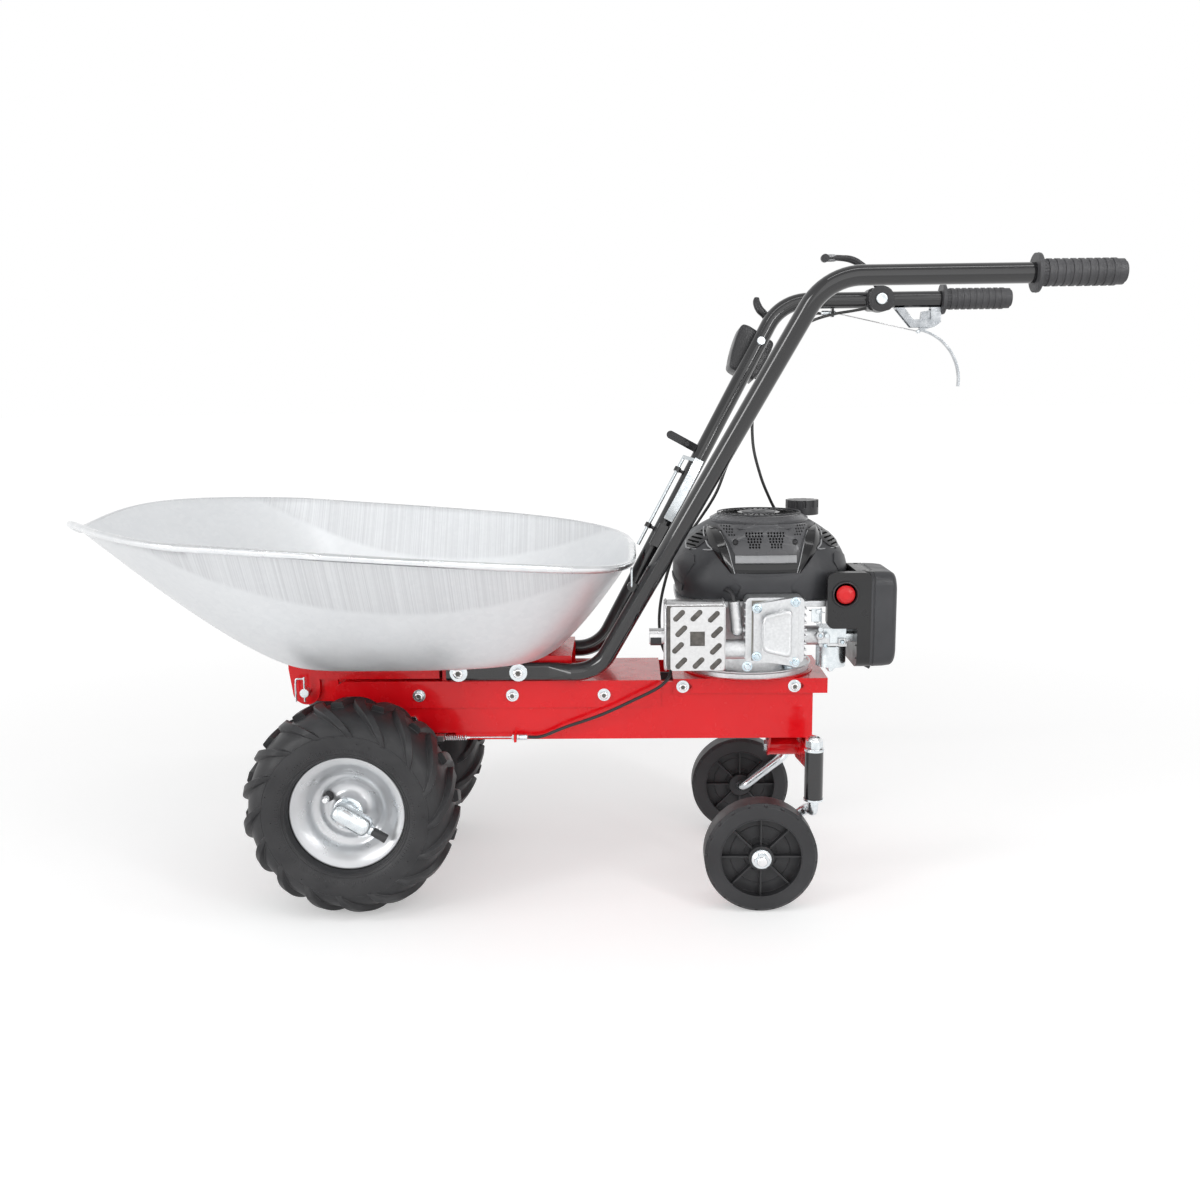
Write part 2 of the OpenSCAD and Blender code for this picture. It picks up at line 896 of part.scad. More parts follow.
// Flattened foot, bent tube and the hollow inside it, right side
module handlebar() {
  difference() {
    union() {
      bent_bar(tube_path, [knee_r, shoulder_r], tube_d);
      along_x(axle_x + foot_fore, foot_aft - foot_fore)
        translate([inner_w + foot_t / 2, foot_z])
          rotate(90)
            slot(foot_h, foot_t);
      hull() {
        along_x(axle_x + foot_aft - seat_gap, seat_gap)
          translate([inner_w + foot_t / 2, foot_z])
            rotate(90)
              slot(foot_h, foot_t, $fn = 32);
        along_x(tube_path[0][0], seat_gap)
          translate([tube_y, foot_z])
            circle(d = tube_d, $fn = 32);
      }
    }
    bent_bar(concat([tube_path[0] + [over, 0, 0]], [tube_path[1], tube_path[2]],
      [tube_path[3] - [over, 0, 0]]), [knee_r, shoulder_r], tube_d - 2 * tube_wall);
    for (b = foot_bolt_at)
      across(b[0], b[1], foot_bolt_d + 2 * hole_fit, 0, half_w + 2 * foot_t);
  }
}

// Flat tab that stands off the front of a handlebar tube, with a cross hole
module tube_tab(share, off, t, w, hole)
  by_slope(along(share))
    difference() {
      along_y(-t / 2, t) {
        translate([-off, -w / 2])
          square([off - tube_d / 2 + tube_wall / 2, w]);
        translate([-off, 0])
          circle(d = w);
      }
      across(-off, 0, hole, -t, t);
    }

// Guide eye for the release rod, with its bore along the tube
module rod_guide(share) {
  p = along(share);
  difference() {
    union() {
      rod(p + ahead * rod_off - slope * guide_t / 2, p + ahead * rod_off + slope * guide_t / 2,
        guide_w);
      rod(p + ahead * (tube_d / 2 - tube_wall / 2), p + ahead * (rod_off - rod_d / 2), rod_d);
    }
    rod(p + ahead * rod_off - slope * guide_w, p + ahead * rod_off + slope * guide_w,
      rod_d + 2 * run_fit);
  }
}

module left_handlebar() color("dimgray")
  mirror([0, 1, 0]) {
    handlebar();
    tube_tab(catch_share, catch_off, catch_tab_t, catch_tab_w, catch_wire + 2 * run_fit);
  }

module right_handlebar() color("dimgray") {
  difference() {
    handlebar();
    on_slope(console_at)
      across(0, console_bolt_up, console_bolt_d + 2 * hole_fit, 0, 2 * console_t);
  }
  for (s = rod_guide_shares)
    rod_guide(s);
  tube_tab(release_share, release_off, release_t, release_h, release_pin_d + 2 * run_fit);
  tube_cable_tab();
  latch_block();
}

// Welded tab under the right tube that holds the cable adjuster
module tube_cable_tab() {
  difference() {
    translate([tube_tab_x, lever_y - adjuster_nut / 2, handle_z - tube_tab_drop - adjuster_nut / 2])
      cube([tab_t, adjuster_nut, tube_tab_drop - tube_d / 2 + adjuster_nut / 2 + tube_wall / 2]);
    rod([tube_tab_x - over, lever_y, handle_z - tube_tab_drop],
      [tube_tab_x + tab_t + over, lever_y, handle_z - tube_tab_drop], adjuster_d / 2 + 2 * hole_fit);
  }
}

// Buffer block on the inner side of the right tube
module latch_block()
  on_slope(along(block_share) + inward * (tube_d + block_size[1] - tube_wall) / 2)
    linear_extrude(block_size[2], center = true)
      round_rect(block_size[0], block_size[1], block_size[1] / 4);

// Frame that follows the slope of the right handlebar at a point
module on_slope(p) {
  multmatrix([
    [ahead[0], inward[0], slope[0], p[0]],
    [ahead[1], inward[1], slope[1], p[1]],
    [ahead[2], inward[2], slope[2], p[2]],
    [0, 0, 0, 1]
  ])
    children();
}

// Upright frame in the plane of the slope, with Y kept level
module by_slope(p) {
  translate(p)
    rotate([0, atan2(slope[0], slope[2]), 0])
      children();
}

// Moulded box outside the right tube, with the slot of the gear lever
module control_console() color("dimgray")
  on_slope(console_at)
    difference() {
      along_y(-console_t / 2, console_t)
        round_rect(console_w, console_l, console_wall * 2);
      translate([-console_slot_w / 2, -console_slot / 2, -gear_w])
        cube([console_slot_w, console_slot, console_l]);
      across(0, 0, gear_pin_d + 2 * run_fit, -console_slot, console_slot);
      across(0, console_bolt_up, console_bolt_d + 2 * hole_fit, console_slot, console_t);
    }

// Gear lever with its own trunnion, bent forward to a knob
module gear_lever() color("dimgray")
  on_slope(console_at) {
    across(0, 0, gear_pin_d, run_fit - console_slot, console_slot - run_fit);
    along_y(-gear_t / 2, gear_t) {
      circle(d = gear_w);
      translate([-gear_w / 2, 0])
        square([gear_w, gear_l - gear_bend]);
      translate([0, gear_l - gear_bend])
        rotate(-gear_bend)
          translate([-gear_w / 2, -gear_w / 2])
            square([gear_w, gear_bend + gear_w]);
    }
    translate([gear_bend * sin(gear_bend), 0, gear_l + gear_w / 4])
      sphere(d = gear_knob);
  }

// Ribbed rubber grip with a guard flange and a closed end, right side
module grip_at(y) {
  x0 = grip_end_x - grip_l;
  r = tube_d / 2 + grip_wall;
  pitch = (grip_l - grip_flange_t - 2 * grip_cap) / grip_ribs;
  difference() {
    union() {
      rod([x0, y, handle_z], [grip_end_x - grip_wall, y, handle_z], 2 * r);
      rod([x0, y, handle_z], [grip_end_x, y, handle_z], 2 * r - 2 * grip_wall);
      rod([x0, y, handle_z], [x0 + grip_flange_t, y, handle_z], 2 * grip_flange_r);
      for (i = [0 : grip_ribs - 1])
        rod([x0 + grip_flange_t + grip_cap + i * pitch, y, handle_z],
          [x0 + grip_flange_t + grip_cap + (i + grip_rib_share) * pitch, y, handle_z],
          2 * (r + grip_rib));
    }
    rod([x0 - over, y, handle_z], [grip_end_x - grip_cap + seat_gap, y, handle_z],
      tube_d + 2 * seat_gap);
  }
}

module left_grip() color("black")
  grip_at(-grip_span / 2);

module right_grip() color("black")
  grip_at(grip_span / 2);

// Bolts with large washers that hold the handle feet to the saddle
module foot_bolts() color("gainsboro")
  both_sides()
    for (b = foot_bolt_at)
      side_bolt(b[0], b[1], inner_w + foot_t, inner_w - plate_t, foot_bolt_d,
        foot_head, foot_head_h, foot_washer_d, foot_washer_t);

// Bolts of the cover, engine plate, gearbox, console and caster pivot
module frame_bolts() color("gainsboro") {
  both_sides() {
    for (b = cover_bolts)
      side_bolt(b[0], b[1], cover_out, inner_w, bolt_d, bolt_head, bolt_head_h, washer_d, washer_t);
    for (b = bed_bolts)
      side_bolt(b[0], b[1], bed_out, inner_w, bolt_d, bolt_head, bolt_head_h, washer_d, washer_t);
    for (b = box_bolts) {
      across(b[0], b[1], bolt_d, inner_w - box_bite, half_w);
      across(b[0], b[1], bolt_head, half_w, half_w + bolt_head_h, $fn = 6);
    }
  }
  console_bolt();
  pivot_bolt();
}

// Bolt through the right tube into the console
module console_bolt() {
  y1 = console_t / 2 + fit + tube_d;
  on_slope(console_at) {
    across(0, console_bolt_up, console_bolt_d, console_slot + fit, y1);
    across(0, console_bolt_up, bolt_head, y1, y1 + bolt_head_h);
  }
}

// Pivot bolt of the caster beam, along X
module pivot_bolt() {
  x0 = beam_x - plate_t;
  rod([x0 - nut_h, 0, beam_pin_z], [rear_x + bolt_head_h, 0, beam_pin_z], beam_pin_d);
  for (x = [x0 - bolt_head_h, rear_x])
    rod([x, 0, beam_pin_z], [x + bolt_head_h, 0, beam_pin_z], bolt_head + bolt_head_h, $fn = 6);
}

// Hinge pin of the tub with a spring clip through each end
module tub_hinge_pin() color("gainsboro") {
  y1 = inner_w + pin_tail;
  across(pin_x, pin_z, pin_d, -y1, y1);
  both_sides() {
    rod([pin_x, y1 - clip_d, pin_z - pin_d], [pin_x, y1 - clip_d, pin_z + clip_reach], clip_d);
    bent_bar([[pin_x, y1 - clip_d, pin_z + clip_reach - clip_d],
      [pin_x - clip_reach / 2, y1 - clip_d, pin_z + clip_reach - clip_d],
      [pin_x - pin_d, y1 - clip_d, pin_z + pin_d / 2],
      [pin_x - pin_d, y1 - clip_d, pin_z - pin_d]], [clip_d, clip_d], clip_d);
  }
}

module drive_cable() color("black")
  cord(drive_route, cable_d, cable_split);

module throttle_cable() color("black")
  cord(throttle_route, cable_d, cable_split);

// Barrel of a cable adjuster with its lock nut, along a direction
module adjuster(p, way) {
  rod(p, p + way * adjuster_l, adjuster_d / 2);
  rod(p + way * adjuster_l / 2, p + way * adjuster_l, adjuster_d);
}

// Adjusters in the two cable tabs and the bare wires that leave them
module cable_fittings() color("gainsboro") {
  adjuster([cable_tab_x - adjuster_nut_h, -cable_y, cable_z], [1, 0, 0]);
  rod([spring_back, -cable_y, cable_z], [spring_back + ferrule_t, -cable_y, cable_z], spring_d);
  rod([spring_back, -cable_y, cable_z],
    [cable_tab_x - adjuster_nut_h, -cable_y, cable_z], wire_d);
  adjuster([tube_tab_x + tab_t + adjuster_nut_h, lever_y, handle_z - tube_tab_drop], [-1, 0, 0]);
  rod([tube_tab_x + tab_t + adjuster_nut_h, lever_y, handle_z - tube_tab_drop],
    [lever_x + wire_end[0], lever_y, lever_z + wire_end[1]], wire_d);
}

// Clamp round the right tube with the throttle's fixed disc
module throttle_housing() color("dimgray")
  difference() {
    union() {
      translate([throttle_x, lever_y, handle_z])
        along_y(-throttle_block[1] / 2, throttle_block[1])
          round_rect(throttle_block[0], throttle_block[2], throttle_block[2] / 4);
      across(throttle_x, handle_z, throttle_disc,
        lever_y - throttle_block[1] / 2 - throttle_disc_t / 2, lever_y);
    }
    rod([throttle_x - throttle_disc, lever_y, handle_z],
      [throttle_x + throttle_disc, lever_y, handle_z], tube_d + 2 * seat_gap);
    across(throttle_x, handle_z, throttle_screw_d / 2 + 2 * run_fit,
      lever_y - throttle_disc, lever_y - tube_d / 2 + tube_wall);
  }

// Thumb lever of the throttle: disc, screw, curved arm and pad
module throttle_lever() color("dimgray") {
  y1 = lever_y - throttle_block[1] / 2 - throttle_disc_t / 2 - fit;
  y0 = y1 - throttle_disc_t;
  ym = (y0 + y1) / 2;
  across(throttle_x, handle_z, throttle_disc, y0, y1);
  across(throttle_x, handle_z, throttle_screw_d, y0 - throttle_disc_t / 3, ym);
  across(throttle_x, handle_z, throttle_screw_d / 2, ym, y1 + throttle_disc_t / 2);
  bent_bar([[throttle_x, ym, handle_z + throttle_disc / 4],
    [throttle_x + throttle_knee[0], ym, handle_z + throttle_knee[1]],
    [throttle_x + throttle_tip[0], ym, handle_z + throttle_tip[1] - throttle_pad / 2]],
    [throttle_disc], throttle_arm_d);
  across(throttle_x + throttle_tip[0], handle_z + throttle_tip[1] - throttle_pad / 2, throttle_pad, y0, y1);
}

// Folded bracket under the right tube that the drive lever hangs in
module lever_bracket() color("gainsboro") {
  w = lever_inside + 2 * lever_cheek;
  top = handle_z - tube_d / 2 - seat_gap;
  difference() {
    along_y(lever_y - w / 2, w)
      polygon([for (p = bracket_shares)
        [lever_x + (p[0] - bracket_pivot_share) * bracket_l, top - p[1] * bracket_h]]);
    translate([lever_x - bracket_l, lever_y - lever_inside / 2, top - 2 * bracket_h])
      cube([2 * bracket_l, lever_inside, 2 * bracket_h - lever_cheek]);
  }
  across(lever_x, lever_z, lever_pin_d, lever_y - w / 2, lever_y + w / 2);
}

// Hand lever of the drive: hub plate and a long curved blade
module drive_lever() color("gainsboro")
  translate([lever_x, 0, lever_z])
    difference() {
      union() {
        along_y(lever_y - lever_t / 2, lever_t)
          polygon([for (p = lever_plate_shares) p * lever_scale]);
        translate([blade_arc_off[0], lever_y, blade_arc_off[1]])
          rotate([90, 0, 0])
            rotate(blade_arc_start)
              rotate_extrude(angle = blade_arc_end - blade_arc_start)
                translate([blade_arc_r - lever_blade_t / 2, -lever_t / 2])
                  square([lever_blade_t, lever_t]);
      }
      across(0, 0, lever_pin_d + 2 * run_fit, lever_y - lever_t, lever_y + lever_t);
    }

// Plan outline of the tub, from floor (0) to rim (1)
function tub_curve(a, fore, aft, half, fore_p, aft_p) =
  let (c = cos(a), p = c < 0 ? fore_p : aft_p)
  [(c < 0 ? fore : aft) * sgn_pow(c, 2 / p), half * sgn_pow(sin(a), 2 / p)];
bead_w = bead_shares[3][0] * bead_r;
tub_mid_x = axle_x + tub_mid;
rim_mid_x = axle_x + rim_mid;
function tub_plan(a, s) =
  (1 - s) * tub_curve(a, tub_mid + floor_fore, floor_aft - tub_mid, floor_w / 2, floor_power, floor_power)
  + s * ([rim_mid_x - tub_mid_x, 0] + tub_curve(a, rim_mid_x - nose_x - bead_w,
    nose_x + tub_l - rim_mid_x - bead_w, tub_w / 2 - bead_w, nose_power, tail_power));
function rim_height(x) =
  let (u = (x + tub_mid_x - nose_x) / tub_l)
  tub_depth - bead_r - rim_fall * u - nose_dip * pow(1 - u, nose_dip_power)
  - tail_dip * pow(u, tail_dip_power);
function tub_point(a, s, out, up) =
  let (p = tub_plan(a, s), q = p + out * unit(p))
  [tub_mid_x + q[0], q[1], tub_floor_z + rim_height(tub_plan(a, 1)[0]) * pow(s, wall_power) + up];
function tub_ring(s, out, up) =
  [for (i = [0 : tub_steps - 1]) tub_point(i * 360 / tub_steps, s, out, up)];

// Pressed tub: outer wall, bead and inner wall
module tub() color("gainsboro")
  loft(concat(
    [for (s = wall_shares) tub_ring(s, 0, 0)],
    [for (b = bead_shares) tub_ring(1, b[0] * bead_r, b[1] * bead_r)],
    [for (i = [len(wall_shares) - 1 : -1 : 0])
      tub_ring(wall_shares[i], -tub_sheet, tub_sheet * (1 - wall_shares[i] / 2))]));

// Channel under the tub floor with ears down to the hinge pin
module tub_bracket() color("red")
  difference() {
    union() {
      translate([axle_x - bracket_fore, bracket_gap - inner_w, tub_floor_z - bracket_t])
        cube([bracket_fore + bracket_aft, 2 * (inner_w - bracket_gap), bracket_t]);
      both_sides()
        along_y(inner_w - bracket_gap - bracket_t, bracket_t)
          bracket_side();
    }
    across(pin_x, pin_z, pin_d + 2 * run_fit, -half_w, half_w);
  }

// Outline of one side of the tub bracket
module bracket_side() {
  translate([pin_x, pin_z])
    circle(r = ear_r);
  polygon([
    [axle_x - bracket_fore, tub_floor_z], [axle_x - bracket_fore, tub_floor_z - ear_r],
    [pin_x - ear_r, pin_z], [pin_x + ear_r, pin_z], [pin_x + ear_r, cover_top + bracket_lift],
    [axle_x + bracket_aft, cover_top + bracket_lift], [axle_x + bracket_aft, tub_floor_z]
  ]);
}

// Wire hook on the left tube, under the tub rim
module tub_catch() color("gainsboro")
  mirror([0, 1, 0]) {
    p = catch_at;
    y1 = catch_tab_t / 2 + catch_wire;
    bent_bar([p - [0, y1, 0], p + [0, y1, 0], p + [0, y1, catch_l],
      p + [0, y1 - catch_hook, catch_l]], [catch_wire, catch_wire], catch_wire);
  }

// Toggle of the tub release, with the pin that it turns on
module release_lever() color("black")
  by_slope(release_at) {
    along_y(release_t / 2 + fit, release_t)
      translate([(release_h - release_l) / 2, 0])
        slot(release_l, release_h);
    across(0, 0, release_pin_d, -release_t, release_t);
  }

// Push rod beside the right tube, with the bowed blade it carries
module release_rod() color("gainsboro") {
  low = along(rod_low_share) + ahead * rod_off;
  high = along(rod_high_share) + ahead * rod_off;
  rod(low, high, rod_d);
  on_slope(along(rod_high_share))
    rotate([0, 0, 45])
      translate([rod_off * sin(45) - blade_t, -rod_off * cos(45), -rod_d])
        cube([2 * blade_t, 2 * rod_off * cos(45), rod_d]);
  release_blade();
}

// Blade bowed along an arc of the tube's slope
module release_blade() {
  l = norm(along(rod_high_share) - along(blade_low_share));
  r = (l * l / 4 + blade_bow * blade_bow) / (2 * blade_bow);
  a = 2 * asin(l / 2 / r);
  on_slope(along((rod_high_share + blade_low_share) / 2) + inward * blade_off)
    translate([-blade_w / 2, blade_bow - r, 0])
      rotate([0, 90, 0])
        rotate(90 - a / 2)
          rotate_extrude(angle = a)
            translate([r, 0])
              square([blade_t, blade_w]);
}

// Coil spring along X, from the tensioner arm to the cable's ferrule
spring_count = spring_turns * spring_rings;
spring_reach = (spring_d - spring_wire) / 2;
function spring_angle(i) = 360 * min(max(i - 1, 0), spring_count) / spring_rings;
function spring_side(i) = [0, cos(spring_angle(i)), sin(spring_angle(i))];
function spring_x(i) = i == 0 ? spring_front
  : i == spring_count + 2 ? spring_back
  : spring_front + spring_wire + (i - 1) / spring_count * (spring_l - 2 * spring_wire);
spring_path = [for (i = [0 : spring_count + 2])
  [spring_x(i), -cable_y, cable_z] + spring_reach * spring_side(i)];
function spring_ring(i) =
  let (h = i == 0 || i == spring_count + 2 ? [1, 0, 0] : heading(spring_path, i),
    t = unit(cross(h, spring_side(i))), s = cross(t, h))
  [for (k = [0 : spring_sides - 1])
    spring_path[i] + spring_wire / 2 * (cos(k * 360 / spring_sides) * s + sin(k * 360 / spring_sides) * t)];
echo(spring_gap = min([for (i = [1 : spring_count + 1 - spring_rings])
  norm(spring_path[i + spring_rings] - spring_path[i]) - spring_wire]));

module drive_spring() color("gainsboro")
  loft([for (i = [0 : spring_count + 2]) spring_ring(i)]);

// Bell crank on the strap's pin: outer arm to the spring, inner arm with the roller
module tensioner() color("silver") {
  p = [tension_at[0], tension_at[1], 0];
  low = chassis_z + plate_t + fit;
  high = belt_z - belt_h - fit;
  difference() {
    union() {
      translate(p + [0, 0, low])
        cylinder(d = tension_hub, h = high - low);
      translate(p + [-arm_w / 2, -arm_reach - arm_w / 2, cable_z - arm_t / 2])
        cube([arm_w, arm_reach + arm_w / 2, arm_t]);
      translate(p + [0, 0, high - 2 * arm_t])
        rotate(atan2(roller_place[1], roller_place[0]))
          translate([tension_pin / 4, -arm_w / 2, 0])
            cube([norm(roller_place), arm_w, arm_t]);
      translate(p + [roller_place[0], roller_place[1], high - 2 * arm_t])
        cylinder(d = tension_pin, h = belt_z - high + 2 * arm_t);
      translate(p + [roller_place[0], roller_place[1], belt_z - belt_h / 2])
        cylinder(r = roller_r, h = belt_h);
      translate(p + [-arm_w / 2, -arm_reach - arm_w / 2, cable_z - spring_d / 2])
        cube([arm_w, arm_w, spring_d]);
    }
    translate(p + [0, 0, chassis_z])
      cylinder(d = tension_pin + 2 * run_fit, h = belt_z - chassis_z);
  }
}

// Flat belt: an arc round each pulley and two straight runs
module drive_belt() color("black") {
  lean = asin((big_r - small_r) / (crank_x - belt_big));
  run = (crank_x - belt_big) * cos(lean);
  belt_arc(belt_big, big_r, 90 - lean, 180 + 2 * lean);
  belt_arc(crank_x, small_r, lean - 90, 180 - 2 * lean);
  both_sides()
    translate([belt_big, 0, belt_z - belt_h / 2])
      rotate(-lean)
        translate([-lap, big_r, 0])
          cube([run + 2 * lap, belt_t, belt_h]);
}

module belt_arc(x, r, start, sweep)
  translate([x, 0, belt_z - belt_h / 2])
    rotate(start)
      rotate_extrude(angle = sweep)
        translate([r - seat_gap, -seat_gap])
          square([belt_t, belt_h] + 2 * [seat_gap, seat_gap]);

// Grooved pulley centred on its belt
module pulley(r) {
  h = belt_h / 2 + fit;
  e = h + pulley_side;
  rotate_extrude()
    polygon([[0, -e], [r + pulley_rim, -e], [r + pulley_rim, -h], [r - fit, -h], [r - fit, h],
      [r + pulley_rim, h], [r + pulley_rim, e], [0, e]]);
}

module gearbox_pulley() color("silver")
  translate([belt_big, 0, 0]) {
    translate([0, 0, belt_z])
      pulley(big_r);
    translate([0, 0, box_top - box_r / 2 + fit])
      cylinder(d = shaft_d, h = belt_z - box_top + box_r / 2 - fit);
  }

// Crankshaft with the drive pulley below and the flywheel under the cowl
module crankshaft() color("silver")
  translate([crank_x, 0, 0]) {
    translate([0, 0, belt_z])
      pulley(small_r);
    translate([0, 0, belt_z])
      cylinder(d = crank_d, h = cowl_low + flywheel_lift + flywheel_t - belt_z);
    translate([0, 0, cowl_low + flywheel_lift])
      cylinder(r = flywheel_r, h = flywheel_t);
  }

// Cast crankcase, finned barrel, head and ports, with the crankshaft bore
module engine_block() color("silver")
  difference() {
    union() {
      translate([crank_x, 0, bed_top]) {
        cylinder(r = base_r, h = base_t);
        cylinder(r = case_r, h = case_h);
      }
      translate([deck_x, 0, deck_z])
        linear_extrude(deck_t)
          round_rect(2 * deck_half[0], 2 * deck_half[1], deck_round);
      translate([head_x - fin_half[0] / 2, -head_y - fin_t, barrel_z - core_half])
        cube([fin_half[0], head_y, 2 * core_half]);
      for (i = [0 : fin_count - 1])
        translate([head_x - fin_half[0], fin_pitch * (i + 1) - head_y, barrel_z - fin_half[1]])
          cube([2 * fin_half[0], fin_t, deck_z - barrel_z + fin_half[1]]);
      along_y(-head_y - head_l, head_l)
        translate([head_x, barrel_z])
          round_rect(2 * head_half[0], 2 * head_half[1], fin_pitch);
      rod([axle_x + muffler_x + muffler_size[0], port_y, exhaust_z], [head_x, port_y, exhaust_z], port_d);
      rod([head_x, carb_y, carb_z], [axle_x + carb_x - carb_size[0] / 2, carb_y, carb_z], port_d);
    }
    translate([crank_x, 0, bed_top - over])
      cylinder(d = crank_d + 2 * run_fit, h = case_h + deck_t + 2 * over);
    for (p = rocker_screws)
      across(p[0], p[1], screw_d + 2 * hole_fit, -rocker_y - over, screw_bite - rocker_y);
    engine_bolt_holes();
    rod(plug_low, plug_low + [over + plug_d, 0, 0], plug_d + 2 * hole_fit);
  }

// Places on the engine
exhaust_z = bed_top + muffler_up + port_d;
port_y = muffler_size[1] / 2 - muffler_y;
outlet_at = [axle_x + muffler_x, port_y, bed_top + outlet_up];
carb_z = bed_top + bowl_up + bowl_h + carb_size[2] / 2;
plug_low = [head_x - head_half[0] - plug_d / 2, boot_low[1], bed_top + boot_low[2]];
rocker_screws = [for (p = cover_poly_shares)
  [head_x + 2 * rocker_screw_share * p[0] * rocker_size[0],
    barrel_z + 2 * rocker_screw_share * p[1] * rocker_size[1]]];

// Cast rocker cover: flange and raised panel
module rocker_cover() color("silver")
  difference() {
    union() {
      along_y(-rocker_y - rocker_t, rocker_t)
        polygon([for (p = cover_poly_shares)
          [head_x + p[0] * rocker_size[0], barrel_z + p[1] * rocker_size[1]]]);
      along_y(-rocker_y - rocker_t - rocker_panel_t, rocker_panel_t)
        polygon([for (p = rocker_panel_shares)
          [head_x + p[0] * rocker_size[0], barrel_z + p[1] * rocker_size[1]]]);
    }
    for (p = rocker_screws)
      across(p[0], p[1], screw_d + 2 * hole_fit, -rocker_y - rocker_t - over, over - rocker_y);
  }

// Screws of the rocker cover and bolts of the engine base
module engine_screws() color("gainsboro") {
  for (p = rocker_screws) {
    across(p[0], p[1], screw_d, -rocker_y - rocker_t, screw_bite - rocker_y - over / 2);
    across(p[0], p[1], screw_head, -rocker_y - rocker_t - screw_head_h, -rocker_y - rocker_t);
  }
  for (a = [45 : 90 : 315])
    translate([crank_x + engine_bolt_r * cos(a), engine_bolt_r * sin(a), 0]) {
      translate([0, 0, chassis_top - nut_h])
        cylinder(d = bolt_d, h = bed_t + base_t + nut_h);
      translate([0, 0, bed_top + base_t])
        cylinder(d = bolt_head, h = bolt_head_h, $fn = 6);
      translate([0, 0, chassis_top - nut_h])
        cylinder(d = bolt_head, h = nut_h, $fn = 6);
    }
}

// Pressed muffler box with its outlet stub
module muffler() color("silver")
  difference() {
    union() {
      along_x(axle_x + muffler_x, muffler_size[0])
        translate([port_y, bed_top + muffler_up + muffler_size[2] / 2])
          round_rect(muffler_size[1], muffler_size[2], muffler_round);
      rod(outlet_at - [outlet_l, 0, 0], outlet_at, outlet_d);
    }
    rod(outlet_at - [outlet_l + over, 0, 0], outlet_at + [over, 0, 0], outlet_d - 2 * outlet_wall);
  }

// Perforated heat guard with folded sides that stand on the muffler
module muffler_guard() color("gainsboro") {
  y1 = -muffler_y - guard_gap;
  difference() {
    along_y(y1 - guard_t, guard_t)
      translate([guard_x, guard_z])
        round_rect(guard_size[0], guard_size[1], guard_slot_d / 2);
    for (p = guard_slot_shares)
      translate([guard_x + p[0] * guard_size[0], 0, guard_z + p[1] * guard_size[1]])
        along_y(y1 - 2 * guard_t, 3 * guard_t)
          rotate(45)
            slot(guard_slot_l, guard_slot_d);
    translate([guard_x - guard_window / 2, y1 - 2 * guard_t, guard_z - guard_window / 2])
      cube([guard_window, 3 * guard_t, guard_window]);
  }
  for (s = [-1, 1])
    translate([guard_x + s * (guard_size[0] - guard_t) / 2 - guard_t / 2, y1,
      guard_z - guard_size[1] / 2 + muffler_round])
      cube([guard_t, guard_gap, guard_size[1] - 2 * muffler_round]);
}

// One ring of the cowl, drawn in by a wall
function cowl_ring(k, wall) =
  [for (i = [0 : cowl_steps - 1])
    let (a = i * 360 / cowl_steps, q = cowl_ring_shares[k], p = 2 / cowl_powers[k])
    [deck_x + (cowl_half[0] * q[1] - wall) * sgn_pow(cos(a), p),
      (cowl_half[1] * q[2] - wall) * sgn_pow(sin(a), p),
      cowl_low + q[0] * (cowl_top - cowl_low) - (k == 0 ? 0 : wall)]];

// Moulded cowl open below, with the fuel filler neck
module engine_cowl() color("dimgray") {
  last = len(cowl_ring_shares) - 1;
  loft(concat([for (k = [last : -1 : 0]) cowl_ring(k, cowl_sheet)],
    [for (k = [0 : last]) cowl_ring(k, 0)]));
  translate([axle_x + cap_x, cap_y, cowl_top + cap_h / 3 - neck_h])
    cylinder(r = neck_r, h = neck_h);
}

// Domed starter cover on the cowl with groups of air holes
module starter_housing() color("dimgray")
  translate([deck_x, 0, cowl_top])
    difference() {
      rotate_extrude()
        polygon([[0, 0], [dome_r, 0], [dome_r, dome_h / 3], [(dome_r + dome_top_r) / 2, dome_h - dome_lip],
          [dome_top_r, dome_h], [0, dome_h]]);
      for (g = dome_hole_angles, i = [0 : dome_holes - 1], j = [0 : 1])
        rotate(g)
          translate([dome_top_r - dome_hole_pitch * (j + 1),
            dome_hole_pitch * (i - (dome_holes - 1) / 2 + j / 2), -over])
            cylinder(d = dome_hole_d, h = dome_h + 2 * over);
    }

module spark_plug_boot() color("silver") {
  low = [axle_x + boot_low[0], boot_low[1], bed_top + boot_low[2]];
  high = [axle_x + boot_high[0], boot_high[1], bed_top + boot_high[2]];
  rod(low, high, boot_d);
  translate(low)
    sphere(d = boot_ball);
  rod(plug_low - [plug_d / 2, 0, 0], plug_low + [plug_d, 0, 0], plug_d);
}

// Carburettor body, float bowl, drain screw and the horn to the filter
module carburettor() color("silver") {
  x = axle_x + carb_x;
  z0 = bed_top + bowl_up;
  translate([x, carb_y, z0])
    cylinder(d = bowl_d, h = bowl_h);
  translate([x, carb_y, z0 - drain_h])
    cylinder(d = drain_d, h = drain_h, $fn = 6);
  translate([x - carb_size[0] / 2, carb_y - carb_size[1] / 2, z0 + bowl_h])
    cube(carb_size);
  rod([x, carb_y, carb_z], [axle_x + filter_x, carb_y, carb_z], port_gap);
}

